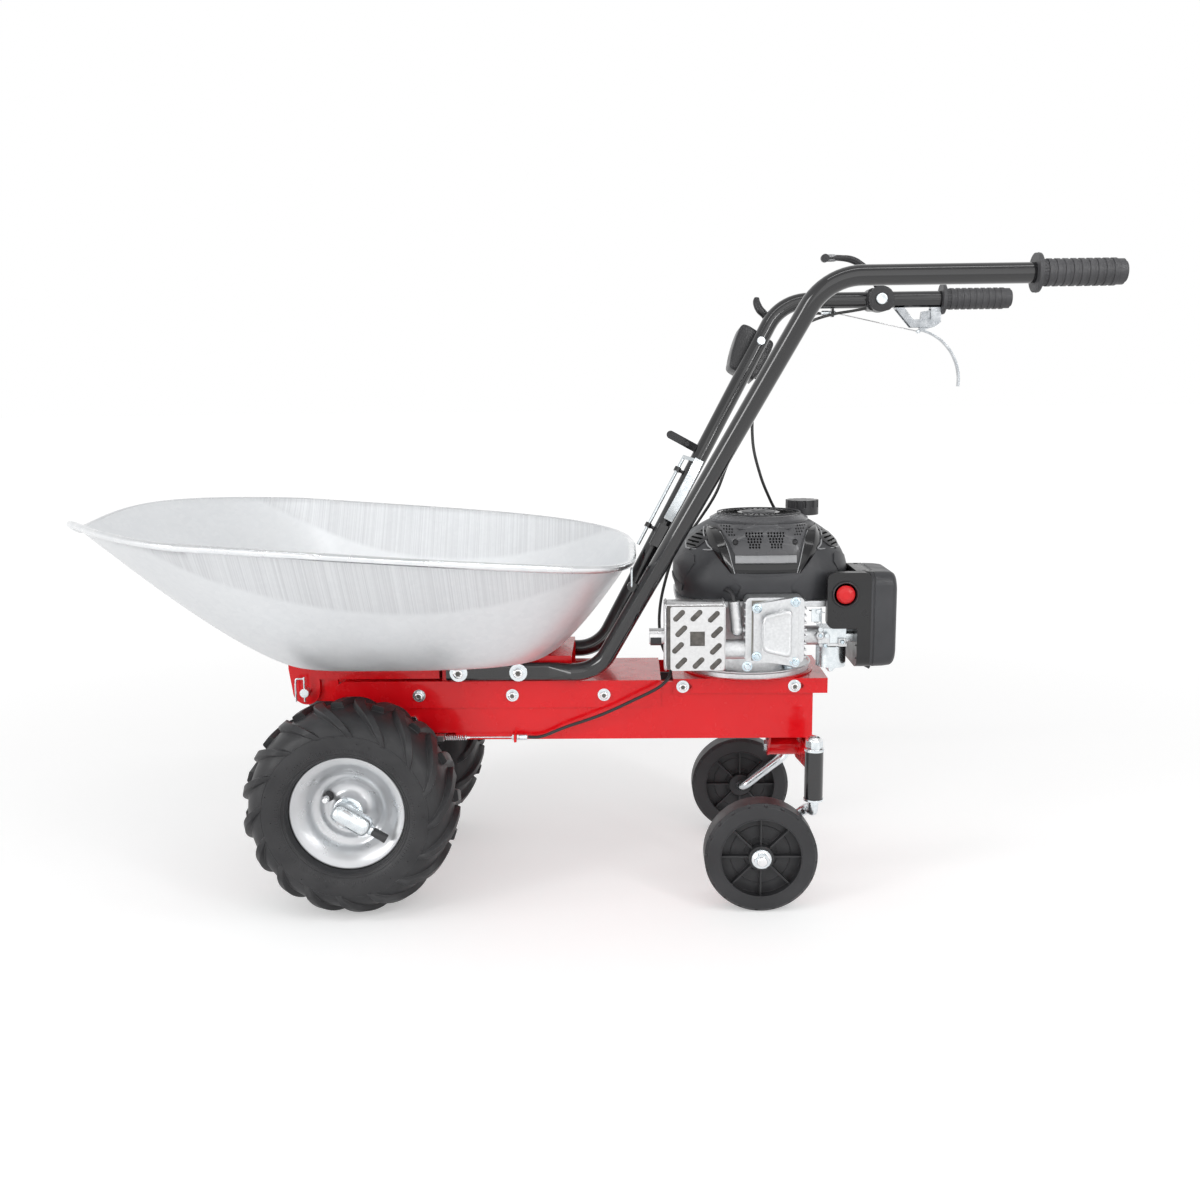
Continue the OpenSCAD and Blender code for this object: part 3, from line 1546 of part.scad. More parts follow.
// Filter base: back wall and the front plate that holds the primer
module air_filter_base() color("black") {
  difference() {
    union() {
      filter_slice(axle_x + filter_x, filter_base_t, 0);
      along_y(-filter_front, filter_plate_t)
        translate([axle_x + (filter_plate_x + filter_x + filter_base_t) / 2,
          bed_top + (filter_plate_up + filter_up + filter_h) / 2])
          round_rect(filter_x + filter_base_t - filter_plate_x,
            filter_up + filter_h - filter_plate_up, filter_round / 2);
    }
    across(axle_x + primer_x, bed_top + primer_up, 2 * (primer_r + fit),
      -filter_front - over, primer_depth - filter_front);
  }
}

// Slice of the filter's rounded outline
module filter_slice(x, l, inset) {
  w = filter_front + filter_back;
  along_x(x, l)
    translate([(filter_back - filter_front) / 2, bed_top + filter_up + filter_h / 2])
      round_rect(w - 2 * inset, filter_h - 2 * inset, filter_round, $fn = 32);
}

module air_filter_cover() color("dimgray")
  hull() {
    filter_slice(axle_x + filter_x + filter_base_t, filter_cover_t - filter_round / 2, 0);
    filter_slice(axle_x + filter_x + filter_base_t, filter_cover_t, filter_round / 3);
  }

// Rubber primer bulb in the front plate
module primer_bulb() color("red")
  translate([axle_x + primer_x, -filter_front + primer_depth / 2, bed_top + primer_up])
    revolve_y([for (q = primer_shares) [primer_r * q[0], -(primer_depth / 2 + primer_out) * q[1]]]);

// Fuel cap over the neck, notched round its skirt
module fuel_cap() color("black")
  translate([axle_x + cap_x, cap_y, cowl_top])
    difference() {
      cylinder(r = cap_r, h = cap_h);
      translate([0, 0, -over])
        cylinder(r = neck_r + fit, h = cap_h / 3 + fit + over);
      for (i = [0 : cap_notches - 1])
        rotate(i * 360 / cap_notches)
          translate([cap_r + fit, 0, cap_h / 2])
            cylinder(r = cap_h / 8, h = cap_h);
    }

// Pull handle of the starter on the far side of the cowl
module starter_handle() color("black") {
  y0 = cowl_half[1];
  z = bed_top + handle_up;
  rod([axle_x + handle_x, y0 - handle_sink, z], [axle_x + handle_x, y0 + handle_out, z], handle_stem_d);
  rod([axle_x + handle_x - handle_grip_l / 2, y0 + handle_out, z],
    [axle_x + handle_x + handle_grip_l / 2, y0 + handle_out, z], handle_grip_d);
}

// Wheel shapes about the drive axle, right side
crown_r = tyre_d / 2 - lug_h;
rim_r = rim_d / 2;
seat_r = rim_r - bead_seat;
well_r = seat_r - well_depth;
tyre_mid = (crown_r + seat_r) / 2;
tyre_rise = (crown_r - seat_r) / 2;
lock_y = track / 2 + hub_out + lock_l / 2;
lock_way = [cos(lock_angle), 0, -sin(lock_angle)];
lock_at = [axle_x, lock_y, axle_z];
function tyre_point(a, rise, half) =
  [tyre_mid + rise * sgn_pow(cos(a), 2 / tread_round), half * sgn_pow(sin(a), 2 / tread_round)];
function mirrored(p) = [for (i = [len(p) - 1 : -1 : 0]) [p[i][0], -p[i][1]]];
function tyre_bead() = let (b = rim_half - rim_t - fit)
  [[rim_r + 2 * fit, rim_half], [rim_r + 2 * fit, b], [seat_r + fit, b], [seat_r + fit, b - tyre_wall]];

// Tyre: hollow carcass, beads and two staggered rows of lugs
module tyre()
  translate([axle_x, track / 2, axle_z]) {
    revolve_y(concat(
      [for (a = [-carcass_arc : carcass_arc / 10 : carcass_arc]) tyre_point(a, tyre_rise, tyre_w / 2)],
      tyre_bead(),
      [for (a = [inner_arc : -inner_arc / 8 : -inner_arc])
        tyre_point(a, tyre_rise - tyre_wall, tyre_w / 2 - tyre_wall)],
      mirrored(tyre_bead())));
    intersection() {
      revolve_y(concat(
        [for (a = [-lug_arc : lug_arc / 4 : lug_arc]) tyre_point(a, tyre_rise + lug_h, tyre_w / 2)],
        [for (a = [lug_arc : -lug_arc / 4 : -lug_arc])
          tyre_point(a, tyre_rise - tyre_wall / 2, tyre_w / 2 - tyre_wall / 2)]));
      for (i = [0 : lugs - 1], s = [-1, 1])
        rotate([0, (i + s / 4) * 360 / lugs, 0])
          translate([0, 0, tyre_mid])
            linear_extrude(tyre_d)
              polygon([[-lug_w / 2, s * lug_gap], [lug_w / 2, s * lug_gap],
              [lug_w / 2 + lug_skew, s * tyre_w], [lug_skew - lug_w / 2, s * tyre_w]]);
    }
  }

// Pressed rim with a stepped dish and a plain hub
module rim()
  translate([axle_x, track / 2, axle_z])
    difference() {
      union() {
        revolve_y(let (out = [[seat_r, rim_half - rim_t], [rim_r, rim_half - rim_t],
          [rim_r, rim_half], [seat_r - rim_t, rim_half], [well_r - rim_t, well_half]])
          concat([[well_r, well_half]], out, mirrored(out), [[well_r, -well_half]]));
        revolve_y([[hub_r / 2, web_y], [web_step_r, web_y], [web_step_r + web_t, web_y + web_step],
          [well_r - rim_t / 2, web_y + web_step], [well_r - rim_t / 2, web_y + web_step + web_t],
          [web_step_r, web_y + web_step + web_t], [web_step_r - web_t, web_y + web_t],
          [hub_r / 2, web_y + web_t]]);
        across(0, 0, 2 * hub_r, -hub_in, hub_out);
      }
      across(0, 0, axle_d + 2 * seat_gap, -hub_in - over, hub_out + over);
    }

// Freewheel lock: cap over the axle end with a radial tube for its pin
module wheel_lock()
  difference() {
    union() {
      across(axle_x, axle_z, 2 * lock_r, lock_y - lock_l / 2, lock_y + lock_l / 2);
      rod(lock_at, lock_at + lock_way * lock_reach, lock_tube);
    }
    across(axle_x, axle_z, axle_d + 2 * seat_gap, lock_y - lock_l, axle_end + seat_gap);
    rod(lock_at, lock_at + lock_way * (lock_reach + over), lock_pin_d + 2 * run_fit);
  }

// Lock pin with its knob
module lock_pin() {
  knob = lock_at + lock_way * (lock_reach + fit);
  rod(lock_at + lock_way * lock_bite, knob + lock_way * over, lock_pin_d);
  rod(knob, knob + lock_way * lock_knob_l, lock_knob_d);
}
axle_end = lock_y + lock_l / 2 - rim_t;

// Drive axle with shoulders inside the hubs and a hole for each lock pin
module drive_axle() color("silver")
  difference() {
    union() {
      across(axle_x, axle_z, axle_d, -axle_end, axle_end);
      both_sides()
        across(axle_x, axle_z, axle_step, box_half + 2 * fit, track / 2 - hub_in - fit);
    }
    both_sides()
      rod(lock_at - lock_way * axle_d, lock_at + lock_way * axle_d, lock_pin_d + 2 * run_fit);
  }

module right_tyre() color("dimgray") tyre();
module left_tyre() color("dimgray") mirror([0, 1, 0]) tyre();
module right_rim() color("silver") rim();
module left_rim() color("silver") mirror([0, 1, 0]) rim();
module right_wheel_lock() color("gainsboro") wheel_lock();
module left_wheel_lock() color("gainsboro") mirror([0, 1, 0]) wheel_lock();
module right_lock_pin() color("black") lock_pin();
module left_lock_pin() color("black") mirror([0, 1, 0]) lock_pin();

// Rocking beam: plate between the posts and the boss on the pivot bolt
module caster_beam() color("red")
  difference() {
    union() {
      along_x(post_x - beam_t / 2, beam_t)
        polygon(let (half = [[beam_flat, beam_pin_z + beam_rise], [post_y, post_low + post_h - beam_lip],
          [post_y, post_low + post_h - beam_lip - beam_tip]])
          concat([[0, beam_pin_z - beam_low]], [for (q = mirror_y(half)) q], half));
      rod([beam_x + fit, 0, beam_pin_z], [rear_x - plate_t - fit, 0, beam_pin_z], beam_boss_d);
    }
    rod([beam_x, 0, beam_pin_z], [rear_x, 0, beam_pin_z], beam_pin_d + 2 * run_fit);
    both_sides()
      post_bar(post_d);
  }
function mirror_y(p) = [for (i = [len(p) - 1 : -1 : 0]) [-p[i][0], p[i][1]]];

module post_bar(d)
  translate([post_x, post_y, post_low])
    cylinder(d = d, h = post_h);

module caster_posts() color("dimgray")
  both_sides()
    difference() {
      post_bar(post_d);
      rod([post_x, post_y, 0], [post_x, post_y, chassis_top], caster_bar + 2 * run_fit);
    }

// Bent fork bar with washers and nuts at the post and the wheel
module caster_fork() {
  top = post_low + post_h;
  y0 = post_y - bar_in;
  y1 = post_y + caster_w / 2 + fit;
  x1 = post_x - trail;
  z1 = caster_d / 2;
  bent_bar([[post_x, post_y, top + caster_washer_t + caster_nut_h + over],
    [post_x, post_y, post_low - bar_drop], [post_x, y0, post_low - bar_drop], [x1, y0, z1],
    [x1, y1 + axle_flange_t + axle_nut_h, z1]], [bar_bend, bar_bend, bar_bend], caster_bar);
  for (z = [top + fit, post_low - caster_washer_t - fit])
    translate([post_x, post_y, z])
      cylinder(d = caster_washer, h = caster_washer_t);
  translate([post_x, post_y, top + fit + caster_washer_t])
    cylinder(d = caster_nut, h = caster_nut_h, $fn = 6);
  across(x1, z1, caster_washer, y1, y1 + axle_flange_t);
  across(x1, z1, axle_nut, y1, y1 + axle_flange_t + axle_nut_h, $fn = 6);
}

// Caster wheel: notched tread, thin web with ribs, and a hub
module caster_wheel()
  translate([post_x - trail, post_y, caster_d / 2])
    difference() {
      union() {
        revolve_y(let (r = caster_d / 2, h = caster_w / 2, c = [[r, h - notch], [r - notch, h],
          [r - tread_t, h]]) concat(mirrored(c), c));
        across(0, 0, caster_d - tread_t, -caster_web / 2, caster_web / 2);
        across(0, 0, 2 * caster_hub_r, caster_hub_in - caster_w / 2, caster_w / 2);
        for (i = [0 : caster_ribs - 1])
          rotate([0, i * 360 / caster_ribs, 0])
            translate([0, -caster_w / 3, -caster_rib_t / 2])
              cube([caster_d / 2 - tread_t / 2, caster_w / 3 * 2, caster_rib_t]);
      }
      across(0, 0, caster_bar + 2 * run_fit, -caster_w, caster_w);
      for (i = [0 : tread_notches - 1], s = [-1, 1])
        rotate([0, (i + s / 4) * 360 / tread_notches, 0])
          translate([caster_d / 2, s * caster_w / 2, 0])
            sphere(d = 2 * notch, $fn = 16);
    }

module right_caster_fork() color("gainsboro") caster_fork();
module left_caster_fork() color("gainsboro") mirror([0, 1, 0]) caster_fork();
module right_caster_wheel() color("dimgray") caster_wheel();
module left_caster_wheel() color("dimgray") mirror([0, 1, 0]) caster_wheel();

chassis_frame();
handle_saddle();
belt_cover();
engine_plate();
gearbox();
left_handlebar();
right_handlebar();
control_console();
left_grip();
right_grip();
foot_bolts();
frame_bolts();
tub_hinge_pin();
drive_cable();
throttle_cable();
cable_fittings();
throttle_housing();
lever_bracket();
engine_block();
rocker_cover();
muffler();
muffler_guard();
engine_cowl();
starter_housing();
air_filter_base();
air_filter_cover();
carburettor();
spark_plug_boot();
engine_screws();
drive_belt();
tub();
tub_bracket();
tub_catch();
release_lever();
release_rod();
throttle_lever();
drive_lever();
gear_lever();
drive_spring();
tensioner();
crankshaft();
gearbox_pulley();
primer_bulb();
fuel_cap();
starter_handle();
drive_axle();
left_tyre();
right_tyre();
left_rim();
right_rim();
left_wheel_lock();
right_wheel_lock();
left_lock_pin();
right_lock_pin();
caster_beam();
caster_posts();
left_caster_fork();
right_caster_fork();
left_caster_wheel();
right_caster_wheel();
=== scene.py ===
from math import copysign, cos, pi, radians, sin

import bmesh
import bpy
from mathutils import Matrix, Vector
from mathutils.geometry import delaunay_2d_cdt


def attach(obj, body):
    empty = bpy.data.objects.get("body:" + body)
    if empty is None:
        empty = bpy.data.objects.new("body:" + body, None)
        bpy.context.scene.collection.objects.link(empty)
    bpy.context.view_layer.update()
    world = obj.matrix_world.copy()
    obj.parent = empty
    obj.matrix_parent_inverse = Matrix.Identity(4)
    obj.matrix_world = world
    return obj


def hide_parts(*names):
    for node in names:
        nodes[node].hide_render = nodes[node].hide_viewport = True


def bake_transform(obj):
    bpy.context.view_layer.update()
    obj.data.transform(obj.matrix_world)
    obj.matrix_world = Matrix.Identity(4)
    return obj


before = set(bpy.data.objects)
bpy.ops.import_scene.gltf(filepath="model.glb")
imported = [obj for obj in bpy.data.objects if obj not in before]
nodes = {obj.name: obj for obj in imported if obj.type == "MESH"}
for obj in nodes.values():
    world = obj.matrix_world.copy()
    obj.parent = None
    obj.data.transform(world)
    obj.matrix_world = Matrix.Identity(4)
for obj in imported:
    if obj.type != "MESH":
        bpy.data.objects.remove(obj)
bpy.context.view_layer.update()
scene = bpy.context.scene
scene.view_settings.view_transform = "Standard"
MM = 0.001
X, Y, Z = Vector((1, 0, 0)), Vector((0, 1, 0)), Vector((0, 0, 1))
SIDES = ((-1, "left"), (1, "right"))


def stand(name, data):
    """Puts a new object into the scene."""
    made = bpy.data.objects.new(name, data)
    scene.collection.objects.link(made)
    return made


# Camera, from the photograph's vanishing points and the tyre's size
LENS, SENSOR = 36.34, 36.0
CAMERA_AT = (0.108, -1.9394, 0.7918)
TILT, YAW, ROLL = 9.921, 1.285, -0.684
eye = bpy.data.cameras.new("camera")
eye.lens, eye.sensor_width = LENS, SENSOR
camera = stand("camera", eye)
camera.matrix_world = (
    Matrix.Translation(CAMERA_AT)
    @ Matrix.Rotation(radians(YAW), 4, "Z")
    @ Matrix.Rotation(radians(90 - TILT), 4, "X")
    @ Matrix.Rotation(radians(ROLL), 4, "Z")
)
scene.camera = camera


# Materials
MIX_A, MIX_B, MIX_OUT = 6, 7, 2


class Nodes:
    """Short ways of adding nodes to a shader tree."""

    def __init__(self, tree):
        self.tree = tree

    def put(self, socket, value):
        """Sets an input's value, or links an output to it."""
        if isinstance(value, bpy.types.NodeSocket):
            self.tree.links.new(value, socket)
        else:
            socket.default_value = value

    def add(self, kind, inputs=(), **settings):
        """Adds a node with its settings and inputs, and gives its outputs."""
        node = self.tree.nodes.new("ShaderNode" + kind)
        for key, value in settings.items():
            setattr(node, key, value)
        for key, value in dict(inputs).items():
            self.put(node.inputs[key], value)
        return node.outputs

    def math(self, kind, a, b, clamp=False):
        return self.add("Math", {0: a, 1: b}, operation=kind, use_clamp=clamp)["Value"]

    def spread(self, value, low, high, out_low=0.0, out_high=1.0):
        return self.add("MapRange", {"Value": value, "From Min": low, "From Max": high, "To Min": out_low,
                                     "To Max": out_high})["Result"]

    def axis(self, place, letter):
        return self.add("SeparateXYZ", {"Vector": place})[letter]


class Look(Nodes):
    """A procedural material: one Principled shader with nodes for colour, roughness and bump."""

    def __init__(self, name, metal=0.0, coat=0.0, coat_rough=0.08, spec=0.5, bevel=0.0):
        self.material = bpy.data.materials.new(name)
        self.material.use_nodes = True
        super().__init__(self.material.node_tree)
        self.shader = self.tree.nodes["Principled BSDF"].inputs
        for key, value in (("Metallic", metal), ("Coat Weight", coat), ("Coat Roughness", coat_rough),
                           ("Specular IOR Level", spec)):
            self.put(self.shader[key], value)
        self.place = self.add("TexCoord")["Object"]
        self.rounded = self.add("Bevel", {"Radius": bevel}, samples=4)["Normal"] if bevel else None
        self.normal = self.rounded

    def noise(self, scale, detail, stretch=None):
        place = self.place
        if stretch:
            place = self.add("Mapping", {"Scale": stretch, "Vector": place})["Vector"]
        return self.add("TexNoise", {"Scale": scale, "Detail": detail, "Vector": place})["Fac"]

    def cells(self, scale, output):
        return self.add("TexVoronoi", {"Scale": scale, "Vector": self.place})[output]

    def cloud(self, scale, detail, low=0.3, high=0.7, out_low=0.0, out_high=1.0):
        return self.spread(self.noise(scale, detail), low, high, out_low, out_high)

    def mix(self, share, *colours):
        a, b = ((*c, 1) if isinstance(c, tuple) else c for c in colours)
        return self.add("Mix", {"Factor": share, MIX_A: a, MIX_B: b}, data_type="RGBA")[MIX_OUT]

    def worn(self, scale, detail, low, high):
        """1 on rubbed edges, 0 on faces: how far the rounded normal leans from the true one, in patches."""
        flat = self.add("NewGeometry")["Normal"]
        agree = self.add("VectorMath", {0: self.rounded, 1: flat}, operation="DOT_PRODUCT")["Value"]
        lean = self.spread(self.math("SUBTRACT", 1.0, agree, True), 0.03, 0.25)
        return self.math("MULTIPLY", lean, self.cloud(scale, detail, low, high))

    def color(self, socket):
        self.put(self.shader["Base Color"], socket)

    def rough(self, scale, detail, low, high):
        self.put(self.shader["Roughness"], self.cloud(scale, detail, out_low=low, out_high=high))

    def bump(self, height, distance):
        under = {"Normal": self.normal} if self.normal else {}
        self.normal = self.add("Bump", {"Distance": distance, "Height": height, **under})["Normal"]
        return self

    def done(self):
        if self.normal:
            self.put(self.shader["Normal"], self.normal)
        return self.material


PAINT_ROUND = 0.0009


def painted(name, dark, light, rough, coat, peel=0.00003, edge=None, metal=0.0, spec=0.5):
    """Sprayed paint: soft tone drift, orange peel, dust in the roughness and, if asked for, lighter edges."""
    look = Look(name, metal, coat, 0.03, spec, PAINT_ROUND if edge else 0.0)
    tone = look.mix(look.cloud(7, 4), dark, light)
    if edge:
        tone = look.mix(look.worn(90, 4, 0.4, 0.62), tone, edge)
    look.color(tone)
    look.rough(38, 5, rough - 0.06, rough + 0.1)
    return look.bump(look.noise(420, 2), peel).done()


def bare_metal(name, dark, light, rough, grain, distance, spots=60, bevel=0.0007, stretch=None):
    """Bare or plated metal: cloudy tone, uneven roughness and a fine grain."""
    look = Look(name, metal=1.0, bevel=bevel)
    look.color(look.mix(look.cloud(spots, 5, 0.32, 0.68), dark, light))
    look.rough(spots * 0.6, 6, rough - 0.07, rough + 0.11)
    return look.bump(look.noise(grain, 3, stretch), distance).done()


def moulded(name, dark, light, rough, grain, distance, coat=0.0, bevel=0.0009, edge=None, spec=0.45):
    """Moulded plastic or rubber: fine texture, handling marks and worn edges."""
    look = Look(name, coat=coat, bevel=bevel, spec=spec)
    tone = look.mix(look.cloud(14, 5), dark, light)
    if edge:
        tone = look.mix(look.worn(120, 3, 0.3, 0.6), tone, edge)
    look.color(tone)
    look.rough(46, 6, rough - 0.07, rough + 0.09)
    return look.bump(look.cells(grain, "Distance"), distance).done()


LEAF_MID, LEAF_HALF, LEAF_DEEP = -0.245, 0.335, 0.087
LEAF_TOP, LEAF_FALL = 0.552, 0.0751


def drawn_tub():
    """Galvanised sheet: faint spangle, a leaf of fine drawing lines under the rim, clouded sheen."""
    look = Look("galvanised", metal=0.45)
    tone = look.mix(look.spread(look.cells(140, "Color"), 0.0, 1.0), (0.80, 0.82, 0.84), (0.85, 0.868, 0.885))
    tone = look.mix(look.math("MULTIPLY", look.cloud(6, 5, 0.35), 0.4), tone, (0.90, 0.912, 0.925))
    x, z = look.axis(look.place, "X"), look.axis(look.place, "Z")
    along = look.math("DIVIDE", look.math("SUBTRACT", x, LEAF_MID), LEAF_HALF)
    leaf = look.math("SUBTRACT", 1.0, look.math("MULTIPLY", along, along), True)
    rim = look.math("SUBTRACT", LEAF_TOP, look.math("MULTIPLY", x, LEAF_FALL))
    low = look.math("SUBTRACT", rim, look.math("MULTIPLY", leaf, LEAF_DEEP))
    band = look.spread(look.math("SUBTRACT", z, low), -0.002, 0.005)
    lines = look.noise(100, 5, (6.4, 0.012, 0.012))
    streak = look.math("MULTIPLY", look.spread(lines, 0.36, 0.68, 0.10, 0.62), band, True)
    look.color(look.mix(streak, tone, (0.60, 0.61, 0.63)))
    even = look.cloud(26, 6, out_low=0.30, out_high=0.44)
    look.put(look.shader["Roughness"], look.math("ADD", even, look.math("MULTIPLY", band, 0.07)))
    look.bump(look.math("MULTIPLY", lines, band), 0.00012)
    look.bump(look.noise(7, 2), 0.0009)
    return look.bump(look.noise(700, 2), 0.00002).done()


def tyre_look():
    """Tyre rubber: dull black, paler rubbed edges, fine mould grain."""
    look = Look("tyre_rubber", bevel=0.0012, spec=0.4)
    tone = look.mix(look.cloud(22, 5), (0.020, 0.020, 0.022), (0.038, 0.038, 0.040))
    look.color(look.mix(look.worn(60, 4, 0.35, 0.65), tone, (0.10, 0.10, 0.10)))
    look.rough(40, 6, 0.40, 0.56)
    return look.bump(look.noise(520, 4), 0.00009).done()


RED = painted("red_paint", (0.78, 0.003, 0.008), (0.85, 0.005, 0.011), 0.22, 0.35,
              edge=(0.88, 0.050, 0.052), spec=0.3)
BLACK = painted("black_paint", (0.006, 0.006, 0.007), (0.011, 0.011, 0.013), 0.12, 0.7, 0.000003)
SILVER = painted("silver_paint", (0.54, 0.55, 0.565), (0.64, 0.65, 0.665), 0.30, 0.3, metal=0.7)
GALVANISED = drawn_tub()
BEAD = bare_metal("galvanised_bead", (0.80, 0.82, 0.84), (0.90, 0.91, 0.92), 0.24, 500, 0.00003, 40, 0)
ZINC = bare_metal("zinc", (0.68, 0.73, 0.76), (0.80, 0.84, 0.86), 0.24, 600, 0.00003, 120)
BLUE_ZINC = bare_metal("blue_zinc", (0.52, 0.64, 0.72), (0.74, 0.82, 0.86), 0.20, 600, 0.00003, 120)
STEEL = bare_metal("steel", (0.48, 0.48, 0.49), (0.58, 0.58, 0.59), 0.30, 260, 0.00004, 160, 0.0006,
                   (1, 1, 14))
BRUSHED = bare_metal("brushed_steel", (0.66, 0.66, 0.665), (0.74, 0.74, 0.745), 0.32, 180, 0.00003, 220, 0.0006,
                     (1, 1, 18))
# Dark steel for painted shade: the bolts' sockets and the sheet behind the muffler guard's slots
SHADE_STEEL = bare_metal("painted_shade_steel", (0.10, 0.095, 0.09), (0.17, 0.16, 0.15), 0.42, 260, 0.00004, 120)
PRESSED = bare_metal("pressed_zinc", (0.34, 0.36, 0.38), (0.52, 0.54, 0.56), 0.26, 500, 0.00003, 90)
ALLOY = bare_metal("cast_alloy", (0.62, 0.63, 0.64), (0.72, 0.73, 0.74), 0.40, 900, 0.00010, 260)
CHROME = bare_metal("chrome", (0.80, 0.81, 0.82), (0.88, 0.88, 0.89), 0.12, 300, 0.00001, 120)
TYRE = tyre_look()
RUBBER = moulded("black_rubber", (0.030, 0.030, 0.032), (0.048, 0.048, 0.051), 0.50, 900, 0.00010)
CASTER = moulded("caster_rubber", (0.020, 0.020, 0.022), (0.036, 0.036, 0.039), 0.46, 700, 0.00008,
                 bevel=0.0012, edge=(0.09, 0.09, 0.09))
GRIP = moulded("grip_rubber", (0.060, 0.060, 0.064), (0.085, 0.085, 0.090), 0.44, 900, 0.00008)
RED_RUBBER = moulded("red_rubber", (0.66, 0.008, 0.012), (0.78, 0.018, 0.022), 0.32, 800, 0.00005)
COWL = moulded("dark_plastic", (0.040, 0.041, 0.045), (0.058, 0.059, 0.064), 0.38, 1500, 0.00007,
               bevel=0.0010, edge=(0.12, 0.12, 0.125))
# Copy of the cowl plastic for the starter cover: its gloss is real, its lighter tone is painted light on the
# starter's face
LIT_SATIN = moulded("satin_plastic_lit", (0.070, 0.071, 0.076), (0.095, 0.096, 0.102), 0.27, 1500, 0.00004, 0.2, 0.0008,
                (0.20, 0.20, 0.21))
PLASTIC = moulded("black_plastic", (0.020, 0.020, 0.022), (0.034, 0.034, 0.037), 0.34, 1200, 0.00006, 0.1,
                  edge=(0.09, 0.09, 0.092))
GLOSS = moulded("gloss_plastic", (0.004, 0.004, 0.005), (0.008, 0.008, 0.009), 0.12, 300, 0.00001, 0.3,
                spec=0.4)
# Near-black plastic for painted shade: sheets behind holes and slots, the starter's vents and the console's
# slot
PAINTED_SHADE = moulded("shadow_plastic", (0.003, 0.003, 0.003), (0.006, 0.006, 0.006), 0.80, 900, 0.00006, spec=0.05)
JACKET = moulded("cord_jacket", (0.016, 0.016, 0.016), (0.028, 0.028, 0.028), 0.36, 1600, 0.00004, bevel=0)
# Pale grey: the throttle's thumb pad, and the painted highlights and painted reflection on the cowl
TRIM_AND_HIGHLIGHT = moulded("grey_trim", (0.30, 0.305, 0.315), (0.40, 0.405, 0.415), 0.26, 600, 0.00002, 0.3)
INK = moulded("ink_plastic", (0.009, 0.009, 0.010), (0.016, 0.016, 0.017), 0.32, 1200, 0.00005, 0.1,
              edge=(0.06, 0.06, 0.062))
GASKET = moulded("gasket", (0.20, 0.19, 0.17), (0.28, 0.27, 0.24), 0.75, 800, 0.00006)

# Looks of the CAD nodes; * stands for left and right
FINISH = {
    RED: "chassis_frame handle_saddle belt_cover engine_plate tub_bracket caster_beam",
    BLACK: "*_handlebar caster_posts",
    ZINC: "foot_bolts frame_bolts tub_hinge_pin cable_fittings tub_catch release_rod *_wheel_lock "
    "*_caster_fork drive_spring carburettor tub",
    PRESSED: "lever_bracket drive_lever",
    BLUE_ZINC: "engine_screws",
    STEEL: "tensioner crankshaft gearbox_pulley drive_axle",
    BRUSHED: "muffler_guard muffler spark_plug_boot",
    ALLOY: "gearbox engine_block rocker_cover",
    SILVER: "*_rim",
    TYRE: "*_tyre",
    RUBBER: "drive_belt",
    GRIP: "*_grip",
    CASTER: "*_caster_wheel",
    RED_RUBBER: "primer_bulb",
    COWL: "engine_cowl air_filter_cover",
    LIT_SATIN: "starter_housing",
    PLASTIC: "control_console throttle_housing throttle_lever release_lever gear_lever fuel_cap "
    "starter_handle *_lock_pin",
    INK: "air_filter_base",
    JACKET: "drive_cable throttle_cable",
}
for material, names in FINISH.items():
    for name in {n.replace("*", side) for n in names.split() for _, side in SIDES}:
        nodes[name].data.materials.clear()
        nodes[name].data.materials.append(material)


# Mesh tools: every size below is in millimetres in the CAD frame. They draw into DRAFT, and piece() takes it.
DRAFT = bmesh.new()


def piece(name, material, body="chassis", replaces=None, bevel=0.0, smooth=35):
    """Makes a piece of what DRAFT holds, and empties DRAFT for the next one."""
    for v in DRAFT.verts:
        v.co *= MM
    bmesh.ops.recalc_face_normals(DRAFT, faces=DRAFT.faces)
    mesh = bpy.data.meshes.new(name)
    DRAFT.to_mesh(mesh)
    DRAFT.clear()
    made = stand(name, mesh)
    mesh.materials.append(material)
    if bevel:
        round_off = made.modifiers.new("round", "BEVEL")
        round_off.width, round_off.segments = bevel * MM, 3
        round_off.limit_method, round_off.angle_limit = "ANGLE", radians(40)
    mesh.shade_smooth()
    mesh.set_sharp_from_angle(angle=radians(smooth))
    if isinstance(body, str):
        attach(made, body)
    else:
        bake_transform(made)
    if replaces:
        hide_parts(replaces)
    return made


def skin(rings, closed=False, caps=True, wrap=True):
    """Joins rings of points; closed joins the last ring to the first, wrap each ring's end to its start."""
    rows = [[DRAFT.verts.new(p) for p in ring] for ring in rings]
    n = len(rows[0])
    for i in range(len(rows) if closed else len(rows) - 1):
        a, b = rows[i], rows[(i + 1) % len(rows)]
        for j in range(n if wrap else n - 1):
            k = (j + 1) % n
            DRAFT.faces.new((a[j], a[k], b[k], b[j]))
    if caps and not closed:
        DRAFT.faces.new(rows[0][::-1])
        DRAFT.faces.new(rows[-1])


def around(n, start=0.0):
    """Angles of n even steps round a circle, from a share of a step on."""
    return [2 * pi * (k + start) / n for k in range(n)]


def upright(a):
    """Way at an angle in the plane across Y."""
    return Vector((cos(a), 0, sin(a)))


def frame_of(way):
    w = Vector(way).normalized()
    side = w.cross(Z if abs(w.z) < 0.9 else X).normalized()
    return side, w.cross(side), w


def lathe(at, way, profile, n, closed=False):
    """Revolves (along, radius) points round a line."""
    a, b, w = frame_of(way)
    skin([[Vector(at) + w * h + (a * cos(t) + b * sin(t)) * r for t in around(n)] for h, r in profile], closed)


def hex_head(at, way, size, height):
    """Bolt head with a crowned top, or a nut."""
    lathe(at, way, [(0, size * 0.56), (height * 0.8, size * 0.56), (height, size * 0.48)], 6)


def block(centre, size, turn=Matrix.Identity(3)):
    place = Matrix.Translation(Vector(centre)) @ turn.to_4x4() @ Matrix.Diagonal((*size, 1))
    bmesh.ops.create_cube(DRAFT, size=1, matrix=place)


